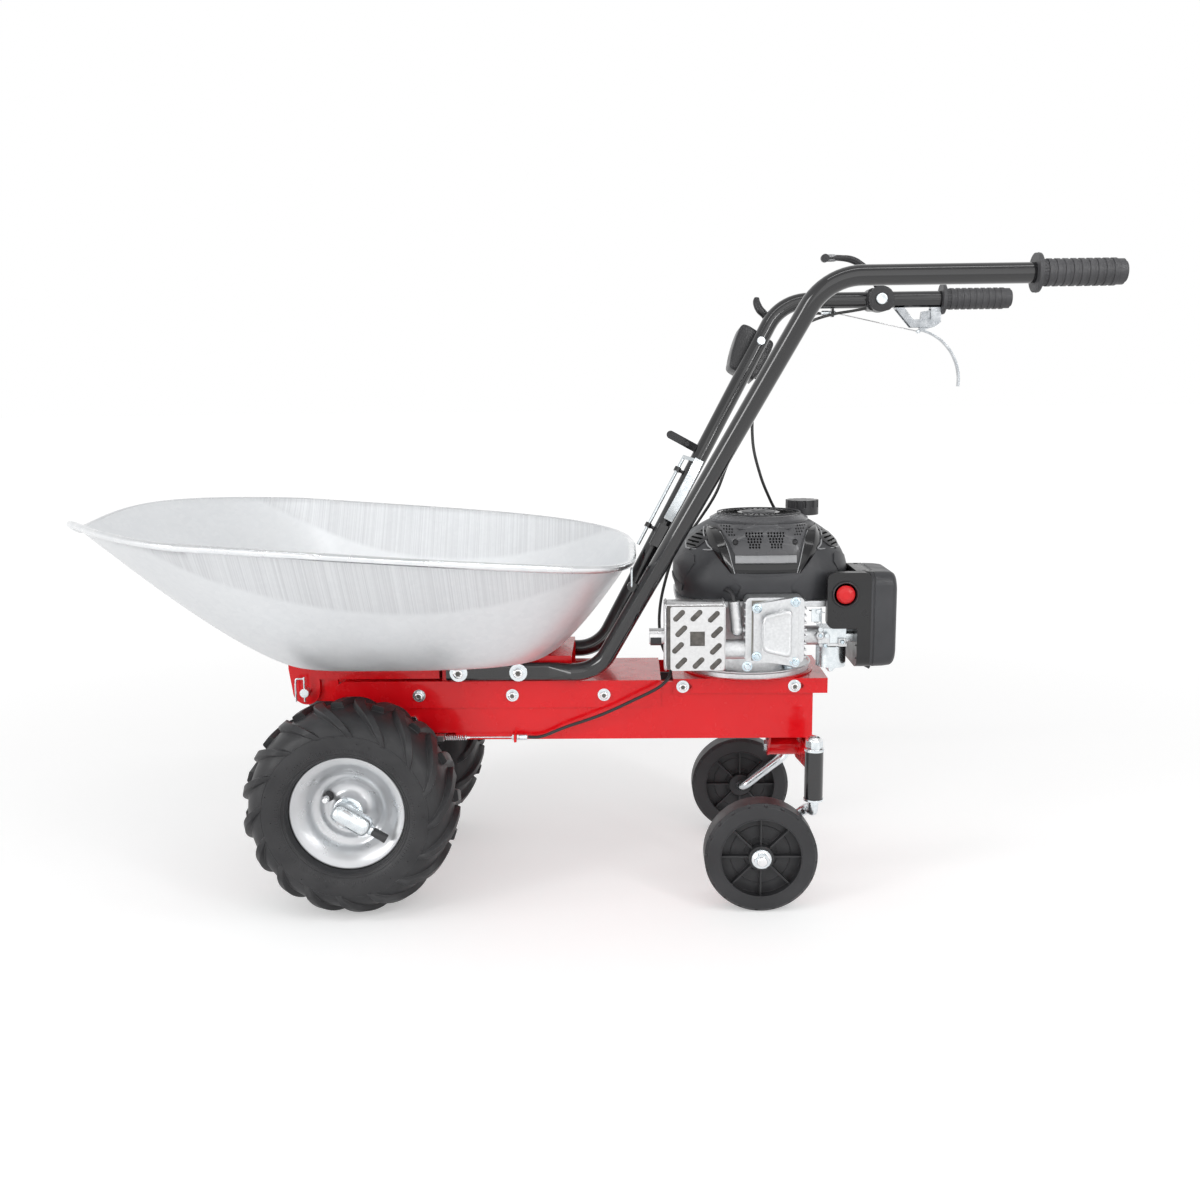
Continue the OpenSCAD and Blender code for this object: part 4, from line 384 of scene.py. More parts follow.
def sweep(path, radius, n):
    """Round bar along points, with turned frames so that it doesn't twist."""
    pts = [Vector(p) for p in path]
    side = frame_of(pts[1] - pts[0])[0]
    rings = []
    for i, p in enumerate(pts):
        w = (pts[min(i + 1, len(pts) - 1)] - pts[max(i - 1, 0)]).normalized()
        side = (side - w * side.dot(w)).normalized()
        up = w.cross(side)
        r = radius(i / (len(pts) - 1)) if callable(radius) else radius
        rings.append([p + (side * cos(t) + up * sin(t)) * r for t in around(n)])
    skin(rings)


def wire(name, material, a, b, steps, radius, n, far_body):
    """Straight run from a point on the chassis to a point of a moving body."""
    sweep([a.lerp(b, i / steps) for i in range(steps + 1)], radius, n)
    piece(name, material, ("chassis", far_body, a * MM, b * MM))


def spline(points, split):
    """Catmull-Rom curve through the points."""
    p = [Vector(q) for q in points]
    p = [2 * p[0] - p[1]] + p + [2 * p[-1] - p[-2]]
    out = []
    for i in range(1, len(p) - 2):
        for k in range(split):
            u = k / split
            out.append(0.5 * (2 * p[i] + (p[i + 1] - p[i - 1]) * u
                       + (2 * p[i - 1] - 5 * p[i] + 4 * p[i + 1] - p[i + 2]) * u * u
                       + (3 * p[i] - p[i - 1] - 3 * p[i + 1] + p[i + 2]) * u ** 3))
    return out + [p[-2]]


def hoop(centre, radius, thick, way=Y, n=120):
    a, b, w = frame_of(way)
    outs = [a * cos(t) + b * sin(t) for t in around(n)]
    skin([[Vector(centre) + out * (radius + thick * cos(q)) + w * (thick * sin(q)) for q in around(10)]
          for out in outs], closed=True)


def rounded(mid, half_y, half_z, corner, n):
    """Rounded rectangle across X; its half sizes reach to the middles of the corners."""
    loop = []
    for cy, cz, start in ((1, 1, 0), (-1, 1, 90), (-1, -1, 180), (1, -1, 270)):
        for k in range(n + 1):
            a = radians(start + 90 * k / n)
            loop.append(Vector((mid[0], mid[1] + cy * half_y + corner * cos(a),
                                mid[2] + cz * half_z + corner * sin(a))))
    return loop


def drawn_in(ring, middle, shares):
    """Copies of a ring in a level plane, drawn in towards a middle."""
    return [[middle + (p - Vector((middle.x, middle.y, p.z))) * share for p in ring] for share in shares]


def sgn_pow(v, p):
    return copysign(abs(v) ** p, v)


def touch(node, start, way):
    """First point of a CAD node along a ray, in millimetres."""
    hit, at = nodes[node].ray_cast(Vector(start) * MM, Vector(way))[:2]
    return at / MM if hit else None


# Control cables, on the routes of the part's source
DRIVE_ROUTE = [
    (452, 246, 916), (440, 245, 914), (418, 234, 892), (385, 214, 845), (345, 180, 780), (305, 130, 715),
    (278, 95, 665), (258, 92, 615), (228, 106, 565), (190, 94, 515), (170, 55, 465), (161, 5, 425),
    (163, -45, 390), (176, -86, 358), (162, -101, 335), (115, -102, 310), (64, -99, 286), (10, -94, 266),
    (-28, -90, 250), (-50, -90, 249),
]
THROTTLE_ROUTE = [
    (529, 234, 923), (505, 233, 919), (468, 230, 913), (428, 221, 900), (385, 198, 872), (348, 162, 825),
    (324, 122, 765), (320, 98, 700), (333, 96, 645), (350, 106, 605), (370, 122, 565), (378, 134, 520),
    (368, 136, 485), (354, 124, 466), (350, 108, 462),
]
CABLE_D = 5.0


def cable(name, route, node):
    data = bpy.data.curves.new(name, "CURVE")
    data.dimensions, data.bevel_depth, data.bevel_resolution = "3D", CABLE_D / 2 * MM, 5
    data.resolution_u, data.use_fill_caps = 10, True
    line = data.splines.new("BEZIER")
    line.bezier_points.add(len(route) - 1)
    p = [Vector(q) * MM for q in route]
    for i, point in enumerate(line.bezier_points):
        pull = (p[min(i + 1, len(p) - 1)] - p[max(i - 1, 0)]) / 6
        point.handle_left_type = point.handle_right_type = "FREE"
        point.co, point.handle_left, point.handle_right = p[i], p[i] - pull, p[i] + pull
    data.materials.append(JACKET)
    made = stand(name, data)
    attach(made, "chassis")
    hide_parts(node)


cable("drive_cable_jacket", DRIVE_ROUTE, "drive_cable")
cable("throttle_cable_jacket", THROTTLE_ROUTE, "throttle_cable")


# Tub: the source's rounded plan and rising rim, skinned finely with a rolled bead
TUB_MID, RIM_MID, TUB_LOW, TUB_WALL = -271, -492.5, 379.9, 2
TUB_NOSE, TUB_LONG = -781, 905
TUB_FLOOR, TUB_RIM = (154, 256, 185, 3.4, 3.4), (279.05, 607.05, 338.55, 1.55, 4)
RIM_RISE, RIM_FALL, NOSE_DIP, TAIL_DIP = 230.5, 68, (44, 30), (12, 10)
TUB_BEAD = [(0, -7.2), (4.5, -5.9), (8.4, -2.7), (9.0, 0.9), (6.3, 4.0), (1.8, 4.5), (-1.6, 3.0)]
TUB_SHARES = [0.0, 0.02, 0.05, 0.09, 0.13, 0.18, 0.24, 0.31, 0.38, 0.46, 0.55, 0.65, 0.75, 0.84, 0.93, 0.97]
FLOOR_SHARES = [0.93, 0.75, 0.5, 0.25]
TUB_TURNS = 240


def tub_curve(a, fore, aft, half, fore_p, aft_p):
    c, s = cos(a), sin(a)
    p = fore_p if c < 0 else aft_p
    return Vector(((fore if c < 0 else aft) * sgn_pow(c, 2 / p), half * sgn_pow(s, 2 / p), 0))


def tub_point(a, s, out, up):
    rim = tub_curve(a, *TUB_RIM) + X * (RIM_MID - TUB_MID)
    plan = tub_curve(a, *TUB_FLOOR).lerp(rim, s)
    u = (rim.x + TUB_MID - TUB_NOSE) / TUB_LONG
    rise = RIM_RISE - RIM_FALL * u - NOSE_DIP[0] * (1 - u) ** NOSE_DIP[1] - TAIL_DIP[0] * u ** TAIL_DIP[1]
    p = plan + plan.normalized() * out
    return Vector((p.x + TUB_MID, p.y, TUB_LOW + rise * s ** 1.3 + up))


def tub():
    turns = around(TUB_TURNS)
    wall = [[tub_point(a, s, 0, 0) for a in turns] for s in TUB_SHARES]
    bead = [[tub_point(a, 1, o, u) for a in turns] for o, u in TUB_BEAD]
    inside = [[tub_point(a, s, -TUB_WALL, TUB_WALL * (1 - s / 2)) for a in turns] for s in TUB_SHARES[::-1]]
    floor_in = drawn_in(inside[-1], Vector((TUB_MID, 0, TUB_LOW + TUB_WALL)), FLOOR_SHARES)
    under = drawn_in(wall[0], Vector((TUB_MID, 0, TUB_LOW)), FLOOR_SHARES[::-1])
    skin(under + wall + bead + inside + floor_in)
    shell = piece("tub_shell", GALVANISED, "tub", replaces="tub", smooth=50).data
    shell.materials.append(BEAD)
    first = len(under) + len(wall)
    for face in shell.polygons:
        if first <= min(v // TUB_TURNS for v in face.vertices) < first + len(bead) - 1:
            face.material_index = 1


tub()

# Engine cowl: the source's rings, skinned finely
COWL_AT, COWL_LOW, COWL_TALL = Vector((320, 0, 0)), 467, 115
COWL_HALF = (137, 112)
COWL_RINGS = [(0, 0.964, 0.946, 3), (0.287, 1, 1, 3), (0.574, 0.956, 0.964, 2.8), (0.809, 0.818, 0.875, 2.5),
              (0.94, 0.672, 0.768, 2.2), (1, 0.584, 0.705, 2)]
COWL_STEPS, COWL_TURNS = 36, 144


def cowl_shape(t):
    """Half sizes and corner power at a height share."""
    rows = COWL_RINGS
    i = max(k for k in range(len(rows) - 1) if rows[k][0] <= t or k == 0)
    a, b = rows[i], rows[i + 1]
    u = min(max((t - a[0]) / (b[0] - a[0]), 0), 1)
    before, after = rows[max(i - 1, 0)], rows[min(i + 2, len(rows) - 1)]
    out = []
    for k in (1, 2, 3):
        m0 = (b[k] - before[k]) / max(b[0] - before[0], 1e-6) * (b[0] - a[0])
        m1 = (after[k] - a[k]) / max(after[0] - a[0], 1e-6) * (b[0] - a[0])
        out.append((2 * u ** 3 - 3 * u * u + 1) * a[k] + (u ** 3 - 2 * u * u + u) * m0
                   + (3 * u * u - 2 * u ** 3) * b[k] + (u ** 3 - u * u) * m1)
    return COWL_HALF[0] * out[0], COWL_HALF[1] * out[1], out[2]


def cowl_point(a, t, out=0.0):
    """Point on the cowl at a turn and a height share."""
    hx, hy, p = cowl_shape(t)
    flat = Vector((hx * sgn_pow(cos(a), 2 / p), hy * sgn_pow(sin(a), 2 / p), 0))
    lean = (hx - cowl_shape(min(t + 0.02, 1))[0]) / (0.02 * COWL_TALL)
    way = Vector((flat.x / hx ** 2, flat.y / hy ** 2, 0)).normalized() + Z * min(max(lean, -0.3), 1.2)
    return COWL_AT + flat + Z * (COWL_LOW + COWL_TALL * t) + way.normalized() * out


def front_point(x, z, out=0.0):
    """Point on the cowl's near face at a place in the front view."""
    t = (z - COWL_LOW) / COWL_TALL
    hx, hy, p = cowl_shape(min(max(t, 0), 1))
    y = hy * (1 - min(abs(x / hx), 0.999) ** p) ** (1 / p)
    up = cowl_shape(min(t + 0.03, 1))[1]
    lean = (hy - up) / (0.03 * COWL_TALL)
    way = Vector((0.35 * x / hx, -1, max(lean, 0))).normalized()
    return COWL_AT + Vector((x, -y, z)) + way * out


def shoulder(sign):
    """Places points by turn from the near middle, in degrees, and height."""
    def place(u, z, out):
        t = min((z - COWL_LOW) / COWL_TALL, 0.999)
        return cowl_point(radians(270 + sign * u), t, out)
    return place


def sloped(place, share):
    """A place whose relief changes with height."""
    return lambda u, z, out: place(u, z, out * share(z) if out > 0 else out)


def cowl():
    turns = around(COWL_TURNS)
    rings = [[cowl_point(a, 0, -2.5) + Z * 2 for a in turns], [cowl_point(a, 0, -0.8) for a in turns]]
    rings += [[cowl_point(a, k / COWL_STEPS) for a in turns] for k in range(1, COWL_STEPS + 1)]
    skin(rings + drawn_in(rings[-1], COWL_AT + Z * (COWL_LOW + COWL_TALL), (0.9, 0.5)))
    piece("cowl_shell", COWL, replaces="engine_cowl", smooth=40)


cowl()

# Cables' metal: adjusters in their tabs, bare wires, the coil spring and the lever's nipple
LEVER_TAB, LEVER_HOOK = Vector((479, 246, 916)), Vector((622.5, 246, 883))
SPRING_Y, SPRING_Z = -90, 249
COIL_STEPS, COIL_TURNS, COIL_R = 26, 9, 3.7


def adjuster(at, way):
    """Threaded barrel through a tab, with two lock nuts and a knurled end."""
    at, way = Vector(at), Vector(way)
    lathe(at, way, [(h * 0.65, 2.5 + (0.3 if h % 2 else 0)) for h in range(26)], 20)
    for h in (2.0, 9.5):
        hex_head(at + way * h, way, 9, 3.2)
    lathe(at, way, [(13, 3.4), (13.4, 4.8), (24.8, 4.9), (26, 4.1)], 18)


def cable_metal():
    adjuster((-77, SPRING_Y, SPRING_Z), X)
    adjuster(LEVER_TAB, -X)
    lathe((-150, SPRING_Y, SPRING_Z), X, [(0, 3.2), (0.4, 4.4), (1.8, 4.4), (3.2, 2.2), (8, 1.7)], 24)
    sweep([(-150 + 6.1 * i, SPRING_Y, SPRING_Z) for i in range(13)], 1.0, 10)
    piece("cable_adjusters", ZINC, replaces="cable_fittings")
    wire("drive_inner_wire", STEEL, LEVER_TAB, LEVER_HOOK, 30, 0.9, 10, "drive_lever")
    lathe(LEVER_HOOK - Y * 5.2, Y, [(0, 2.6), (0.6, 3.3), (9.8, 3.3), (10.4, 2.6)], 20)
    piece("drive_wire_nipple", ZINC, "drive_lever")
    coil, steps = [], COIL_STEPS * COIL_TURNS
    for i in range(steps + 1):
        t = 2 * pi * i / COIL_STEPS
        coil.append((-181.4 + 29.8 * i / steps, SPRING_Y + COIL_R * cos(t), SPRING_Z + COIL_R * sin(t)))
    sweep(coil, 0.8, 10)
    ends = ("tensioner", "chassis", (-0.183, -0.09, 0.249), (-0.150, -0.09, 0.249))
    piece("drive_coil", ZINC, ends, replaces="drive_spring", smooth=60)


cable_metal()


# Perforated and shaped trim on the cowl's near face
SHEET_SINK = -0.6


def within(q, loop):
    hit = False
    for (ax, ay), (bx, by) in zip(loop, loop[1:] + loop[:1]):
        if (ay > q.y) != (by > q.y) and q.x < ax + (q.y - ay) / (by - ay) * (bx - ax):
            hit = not hit
    return hit


def sheet(name, outline, place, thick, material, holes=(), grid=7.0):
    """Sheet on a curved face: a flat outline with holes, triangulated, then bent onto the face."""
    def solid(q):
        return within(q, outline) and not any(within(q, h) for h in holes)

    points, edges = [], []
    for loop in [outline, *holes]:
        first = len(points)
        points += [Vector(q) for q in loop]
        edges += [(first + i, first + (i + 1) % len(loop)) for i in range(len(loop))]
    across, up = ([min(v) + i * grid for i in range(1, int((max(v) - min(v)) / grid) + 1)]
                  for v in zip(*outline))
    points += [q for q in (Vector((x, y)) for x in across for y in up) if solid(q)]
    verts, _, tris = delaunay_2d_cdt(points, edges, [], 0, 1e-4)[:3]
    top = [DRAFT.verts.new(place(q.x, q.y, thick)) for q in verts]
    low = [DRAFT.verts.new(place(q.x, q.y, SHEET_SINK)) for q in verts]
    for tri in tris:
        if solid(sum((verts[i] for i in tri), Vector((0, 0))) / 3):
            DRAFT.faces.new([top[i] for i in tri])
            DRAFT.faces.new([low[i] for i in reversed(tri)])
    index = {v: i for i, v in enumerate(top)}
    for e in [e for e in DRAFT.edges if len(e.link_faces) == 1 and e.verts[0] in index]:
        i, j = index[e.verts[0]], index[e.verts[1]]
        DRAFT.faces.new((top[i], top[j], low[j], low[i]))
    bmesh.ops.delete(DRAFT, geom=[v for v in DRAFT.verts if not v.link_faces], context="VERTS")
    piece(name, material, smooth=30)


def polygon(x, y, r, n=6):
    return [(x + r * cos(a), y + r * sin(a)) for a in around(n, 0.5)]


BLADE_OUTER = [(86, 575), (88, 566), (83, 551), (71, 533), (53, 511)]
BLADE_INNER = [(83, 577), (67, 570), (57, 548), (52, 529), (47, 511)]
BLADE_SECTION = [(0, -0.5), (0.02, 1.6), (0.36, 7.6), (0.44, 8.2), (0.52, 7.4), (0.90, 3.0), (0.98, 2.6),
                 (1, -0.5)]
FRONT_EDGE = [(46, 538), (50, 546), (57, 560), (64, 571), (70, 578)]
FRONT_WELLS = [(-45, 556), (45, 556)]
FRONT_PLATE = [(-38, 573), (38, 573), (41, 575), (40, 580.5), (-40, 580.5), (-41, 575)]
HIGHLIGHT_EDGE, HIGHLIGHT_RUN = [(89, 574), (91, 566), (87, 552), (82, 545)], [(62, 543.5), (70, 547), (77, 552)]
WINDOW_REFLECTION = [(537.5, 0.3), (537.5, 3.6), (536, 5.0), (530, 5.6), (526.5, 5.0), (525.5, 3.0), (525.5, 0.3)]
MOUTH_SHADE = [(525.5, 0.3), (525, 1.8), (519, 2.2), (513.5, 1.8), (511.5, 0.3)]
GRILLE = [(38, 577), (50, 579), (64, 574), (77, 564), (79, 554), (70, 545), (60, 542), (50, 548), (44, 562)]
GRILLE_SHADE = [(48, 570), (66, 571), (74, 558), (68, 547), (54, 546)]
SKIRT_PANEL = [(-57, 509), (-37, 490), (-45, 470), (45, 470), (37, 490), (57, 509)]
SKIRT_PAD = [(50, 536), (62, 538), (72, 530), (74, 518), (66, 510), (58, 494), (52, 508), (46, 524)]
SKIRT_FIN = [(60, 488), (76, 494), (90, 500), (90, 493), (76, 484), (64, 478)]


def starter_front():
    """Starter cover's front: hexagon grilles, a finer mesh on its shoulders and screw wells, over dark sheets
    of painted shade.
    """
    loop = [(x, 538) for x in range(-36, 37, 12)] + FRONT_EDGE + [(x, 581) for x in range(62, -63, -12)]
    loop += [(-x, z) for x, z in FRONT_EDGE[::-1]]
    holes, shade_sheets = [], []
    for middle in (-16.5, 16.5):
        for row in range(6):
            wide = 6 - row // 2
            holes += [polygon(middle + (k - (wide - 1) / 2) * 4.6, 568.5 - row * 3.9, 1.75)
                      for k in range(wide)]
        shade_sheets.append([(middle - 14.5, 571), (middle + 14.5, 571), (middle + 11, 546.5), (middle - 11, 546.5)])
    for side in (-1, 1):
        for row in range(4):
            holes += [polygon(side * (46 + row * 1.3 + k * 4.0 + (row % 2) * 2), 566 + row * 3.8, 1.35)
                      for k in range(3 + row // 2)]
        mesh = [(side * 42, 563), (side * 56, 563), (side * 66, 579), (side * 44, 580)]
        shade_sheets.append(mesh if side > 0 else mesh[::-1])
    holes += [polygon(x, z, 4.4, 20) for x, z in FRONT_WELLS]
    sheet("starter_front", loop, front_point, 2.8, LIT_SATIN, holes)
    # Near-black sheets of painted shade behind the hexagon grilles and the shoulder mesh
    for k, shade_sheet in enumerate(shade_sheets):
        sheet("starter_dark_%d" % k, shade_sheet, front_point, 0.9, PAINTED_SHADE)
    for x, z in FRONT_WELLS:
        at = front_point(x, z, 0.4)
        way = (front_point(x, z, 2) - at).normalized()
        lathe(at, way, [(0, 4.3), (0.6, 4.3)], 24)
        lathe(at, way, [(0.4, 3.2), (2.0, 3.2), (2.5, 2.6), (1.6, 1.6)], 6)
    piece("starter_front_screws", PLASTIC)
    sheet("starter_plate", FRONT_PLATE, front_point, 4.6, LIT_SATIN)


def cowl_front():
    # Two gloss blades that sweep in from the shoulders to the window
    for side in (-1, 1):
        outer, inner = (spline([(side * x, z, 0) for x, z in run], 7) for run in (BLADE_OUTER, BLADE_INNER))
        rings = []
        for i, (q, r) in enumerate(zip(outer, inner)):
            u = i / (len(outer) - 1)
            tall = 0.25 + 0.75 * sin(pi * min(max(u * 0.9 + 0.06, 0), 1)) ** 0.7
            rings.append([front_point(*q.lerp(r, k)[:2], h * tall if h > 0 else h) for k, h in BLADE_SECTION])
        skin(rings)
    piece("cowl_blades", GLOSS, smooth=24)
    # Painted highlights: pale strips along the blades' edges and under the shoulder grilles
    for side in (-1, 1):
        run = [front_point(side * x, z, 1.2) for x, z in HIGHLIGHT_EDGE]
        run += [shoulder(side)(u, z, 1.2) for u, z in HIGHLIGHT_RUN]
        sweep(spline(run, 6), 1.25, 10)
        sweep(spline([front_point(side * x, z, 2.6) for x, z in BLADE_INNER[1:]], 6), 0.8, 8)
    piece("cowl_edge_highlights", TRIM_AND_HIGHLIGHT, smooth=60)
    # Window: pale upper strip of painted reflection, and below it a gloss black sheet of painted shade for the
    # recess
    skin([[front_point(x, z, out) for x in range(-46, 47, 4)] for z, out in WINDOW_REFLECTION], wrap=False, caps=False)
    piece("cowl_window_reflection", TRIM_AND_HIGHLIGHT, smooth=50)
    # The mouth is a raised gloss black sheet whose darkness is painted shade of a recess
    skin([[front_point(x, z - 1.5 * (1 - (x / 50) ** 2) * (z < 520), out) for x in range(-48, 49, 4)]
          for z, out in MOUTH_SHADE], wrap=False, caps=False)
    piece("cowl_mouth_shade", GLOSS, smooth=50)
    # Slotted grilles on both shoulders, over near-black sheets of painted shade
    slots = []
    for k in range(6):
        z = 547 + k * 5.0
        a0, a1 = 53 - k * 1.6, 73 - abs(k - 1) * 2.4
        slots.append([(a0, z), (a1, z + 0.8), (a1 - 0.5, z + 3.0), (a0 + 0.4, z + 2.3)])
    for sign, name in SIDES:
        sheet("cowl_grille_" + name, GRILLE, shoulder(sign), 2.0, PLASTIC, slots, 6.0)
        sheet("cowl_shade_sheet_" + name, GRILLE_SHADE, shoulder(sign), 0.7, PAINTED_SHADE)
    # Raised panels of the skirt
    sheet("cowl_skirt_panel", SKIRT_PANEL, sloped(front_point, lambda z: 0.2 + (509 - z) / 30), 2.4, COWL)
    for sign, name in SIDES:
        sheet("cowl_pad_" + name, SKIRT_PAD, sloped(shoulder(sign), lambda z: (z - 490) / 34), 2.0, COWL)
        sheet("cowl_fin_" + name, SKIRT_FIN, shoulder(sign), 1.9, COWL)


starter_front()
cowl_front()


# Starter dome: radial vents drawn as dark slots of painted shade, a stepped hub, and the pull handle's rope
# with its eyelet
STARTER_TOP, ROPE_Z = 594, 540


def starter_top():
    hub = COWL_AT + Z * STARTER_TOP
    # Vents: thin near-black blocks of painted shade on the dome
    for a in around(36, 0.5):
        block(hub + Vector((cos(a), sin(a), 0)) * 47 + Z * 0.05, (26, 2.6, 0.7), Matrix.Rotation(a, 3, "Z"))
    piece("starter_vent_shade", PAINTED_SHADE, bevel=0.25)
    lathe(hub - Z * 0.5, Z, [(0, 27), (1.6, 26.6), (2.2, 25.2), (2.3, 12), (3.4, 11), (3.6, 4)], 60)
    hoop(hub + Z * 0.1, 65.5, 1.1, Z, 96)
    piece("starter_hub", COWL, smooth=40)
    # The rope is a short run, as at rest
    start, end = Vector((COWL_AT.x, 98, ROPE_Z)), Vector((COWL_AT.x, 110, ROPE_Z))
    wire("starter_rope", JACKET, start, end, 40, 1.8, 12, "starter_handle")
    hoop((COWL_AT.x, 107, ROPE_Z), 7.4, 2.2, Y, 48)
    piece("starter_eyelet", ZINC, smooth=60)


starter_top()


# Air filter cover: rounded moulded box with a lip, clips and a hinge tab, and the primer's collar
FILTER_Y, FILTER_Z, FILTER_HALF, FILTER_FACE = -63, 438.5, (63, 74.5), 519
FILTER_STEPS = [(478.0, 2.2, 18), (478.0, 0.4, 20), (481.5, 0.2, 20), (482.4, 1.4, 19), (483.4, 1.4, 19),
                (484.2, 0.4, 20), (500, 0.9, 20), (508, 1.8, 20)]
FILTER_ROUND = 11


def filter_cover():
    steps = list(FILTER_STEPS)
    start, first_inset, corner = steps[-1]
    for k in range(1, 8):
        a = radians(90 * k / 7)
        steps.append((start + FILTER_ROUND * sin(a), first_inset + FILTER_ROUND * (1 - cos(a)), corner))
    rings = [rounded((x, FILTER_Y, FILTER_Z), *(h - inset - c for h in FILTER_HALF), c, 14)
             for x, inset, c in steps]
    rings.append([p.lerp(Vector((FILTER_FACE, FILTER_Y, FILTER_Z)), 0.5) for p in rings[-1]])
    skin(rings)
    piece("filter_cover_shell", COWL, replaces="air_filter_cover", smooth=40)
    for y in (-104, -30):
        block((478, y, 509), (14, 16, 7))
        block((471, y, 511), (8, 12, 4))
    block((474, -96, 366), (20, 18, 5), Matrix.Rotation(radians(28), 3, "Y"))
    for z in (380, 400, 420):
        block((466, -120, z), (20, 3, 2))
    piece("filter_clips", PLASTIC, bevel=1.2)
    collar = [(0, 20.5), (1.5, 20.5), (3.4, 19.4), (3.8, 18.2), (2.2, 16.8), (0.3, 16.6), (0.0, 16.5)]
    lathe((439, -126.2, 480), -Y, collar, 48)
    piece("primer_collar", PLASTIC, smooth=50)


filter_cover()

# Wheels: tyre, rim, sidewall mouldings, vent hairs, valve and lock
AXLE = Vector((-316, 0, 165))
WHEEL_Y, LOCK_Y, CLEAR_Y = 162, 214.5, 320
LOCK_WAY = upright(-radians(32))
LOCK_SLEEVE = [(-21, 6), (-20.4, 10), (-18.4, 13.2), (-15, 15.4), (-10, 16.3), (30, 16.3), (34.5, 15.8),
               (38.4, 13.6), (40.6, 10.4), (41.4, 8.2), (46, 7.6), (46, 4.3)]
LOCK_FLANGE = [(-16.5, 23), (-14.4, 23), (-13.4, 21.8), (-12.8, 18.6), (0, 18)]
PIN_KNOB = [(0.2, 5.2), (2.5, 6.7), (17, 6.75), (20, 6.9), (23.2, 7.1), (24.3, 6.4)]
VALVE_CAP = [(12 + 0.5 * k, 4.9 if k % 2 else 4.6) for k in range(20)]
RIM_LOOP = [
    (36, 12.8), (36, 19.6), (35.4, 20), (25, 20.6), (18.5, 23.2), (14.8, 27), (13.4, 32), (13.4, 38),
    (14.8, 42.3), (18.6, 45.8), (20.8, 49), (21.6, 52.5), (22.2, 55.5), (24.2, 58.4), (27.6, 61.4),
    (31.4, 64.6), (35, 68.2), (38, 72), (40.4, 75), (42.4, 78.4), (43.8, 82), (44.8, 85), (45, 86.6),
    (44.4, 87.8), (43, 88.4), (40.2, 87.8), (39.8, 77.4), (24, 68.4), (-24, 66), (-41.8, 76.2), (-41.9, 88),
    (-43, 88.4), (-44.6, 87.2), (-45, 84), (-44.6, 76), (-42, 73.4), (-24, 63), (14, 63), (18.4, 61),
    (19, 56), (18.6, 49), (16, 45), (12.4, 42.6), (11.8, 36), (11.8, 24), (8, 21), (-39.4, 20), (-40, 19.4),
    (-40, 12.8),
]
TYRE_MID, TYRE_RISE, TYRE_HALF, TYRE_ROUND = 116, 40, 62.5, 2.6
TYRE_BEAD = [(46, 88.9), (39.4, 88.8), (39.4, 78.4), (34, 78.4)]
LUGS, LUG_TALL, LUG_HALF, LUG_STEPS, LUG_SWEEP = 16, 8.7, 8.2, 14, 0.42
LUG_FROM, LUG_SPAN = -5, 87
WALL_RINGS, RIB_RADII = ((93, 1.3), (97, 0.8), (126, 0.9)), (101, 106)
WALL_RIBS, VENT_HAIRS = 120, 26


def wall_hit(node, side, radius, a):
    """Point of a wheel's outer side at a radius and an angle."""
    return touch(node, AXLE + upright(a) * radius + Y * side * CLEAR_Y, (0, -side, 0))


def ring_at(side, radius, node):
    """Where a sidewall stands at a radius: the lowest of several casts, so lugs don't count."""
    found = [wall_hit(node, side, radius, radians(30 * k + 4)) for k in range(12)]
    return min(abs(at.y) for at in found if at)


def tread(a):
    """Place on the tyre's section at an angle from its crown, as (across, radius), and the way out of it."""
    def at(q):
        return Vector((TYRE_HALF * sgn_pow(sin(q), 2 / TYRE_ROUND),
                       TYRE_MID + TYRE_RISE * sgn_pow(cos(q), 2 / TYRE_ROUND)))
    run = (at(a + 0.02) - at(a - 0.02)).normalized()
    return at(a), Vector((-run.y, run.x))


def tyre_shape(side, name):
    """Carcass with its beads, and long lugs that sweep from the crown down over the shoulders."""
    hub = AXLE + Y * side * WHEEL_Y
    loop = [tuple(tread(radians(q))[0]) for q in range(-122, 123, 4)]
    lathe(hub, Y, loop + TYRE_BEAD + [(-x, r) for x, r in TYRE_BEAD[::-1]], 180, closed=True)
    for k in range(LUGS):
        for way in (-1, 1):
            start = 2 * pi * (k + 0.25 * way) / LUGS
            rings = []
            for i in range(LUG_STEPS + 1):
                u = i / LUG_STEPS
                place, out = tread(radians(LUG_FROM + LUG_SPAN * u))
                turn = start - LUG_SWEEP * u ** 1.25
                half = LUG_HALF - 1.6 * u - 3.2 * max(0, u - 0.8) / 0.2
                tall = LUG_TALL * (1 - 0.32 * u ** 3) * (1 - 0.85 * max(0, u - 0.86) / 0.14)
                radial, round_way = upright(turn), upright(turn + pi / 2)
                base = hub + Y * way * place.x + radial * place.y
                up = Y * way * out.x + radial * out.y
                section = [(-half - 2.4, -1.6), (-half - 0.4, tall * 0.8), (-half + 1.0, tall),
                           (half - 1.0, tall), (half + 0.4, tall * 0.8), (half + 2.4, -1.6)]
                rings.append([base + round_way * x + up * h for x, h in section])
            skin(rings)
    piece(name + "_tyre_tread", TYRE, name + "_wheel", replaces=name + "_tyre", smooth=38)


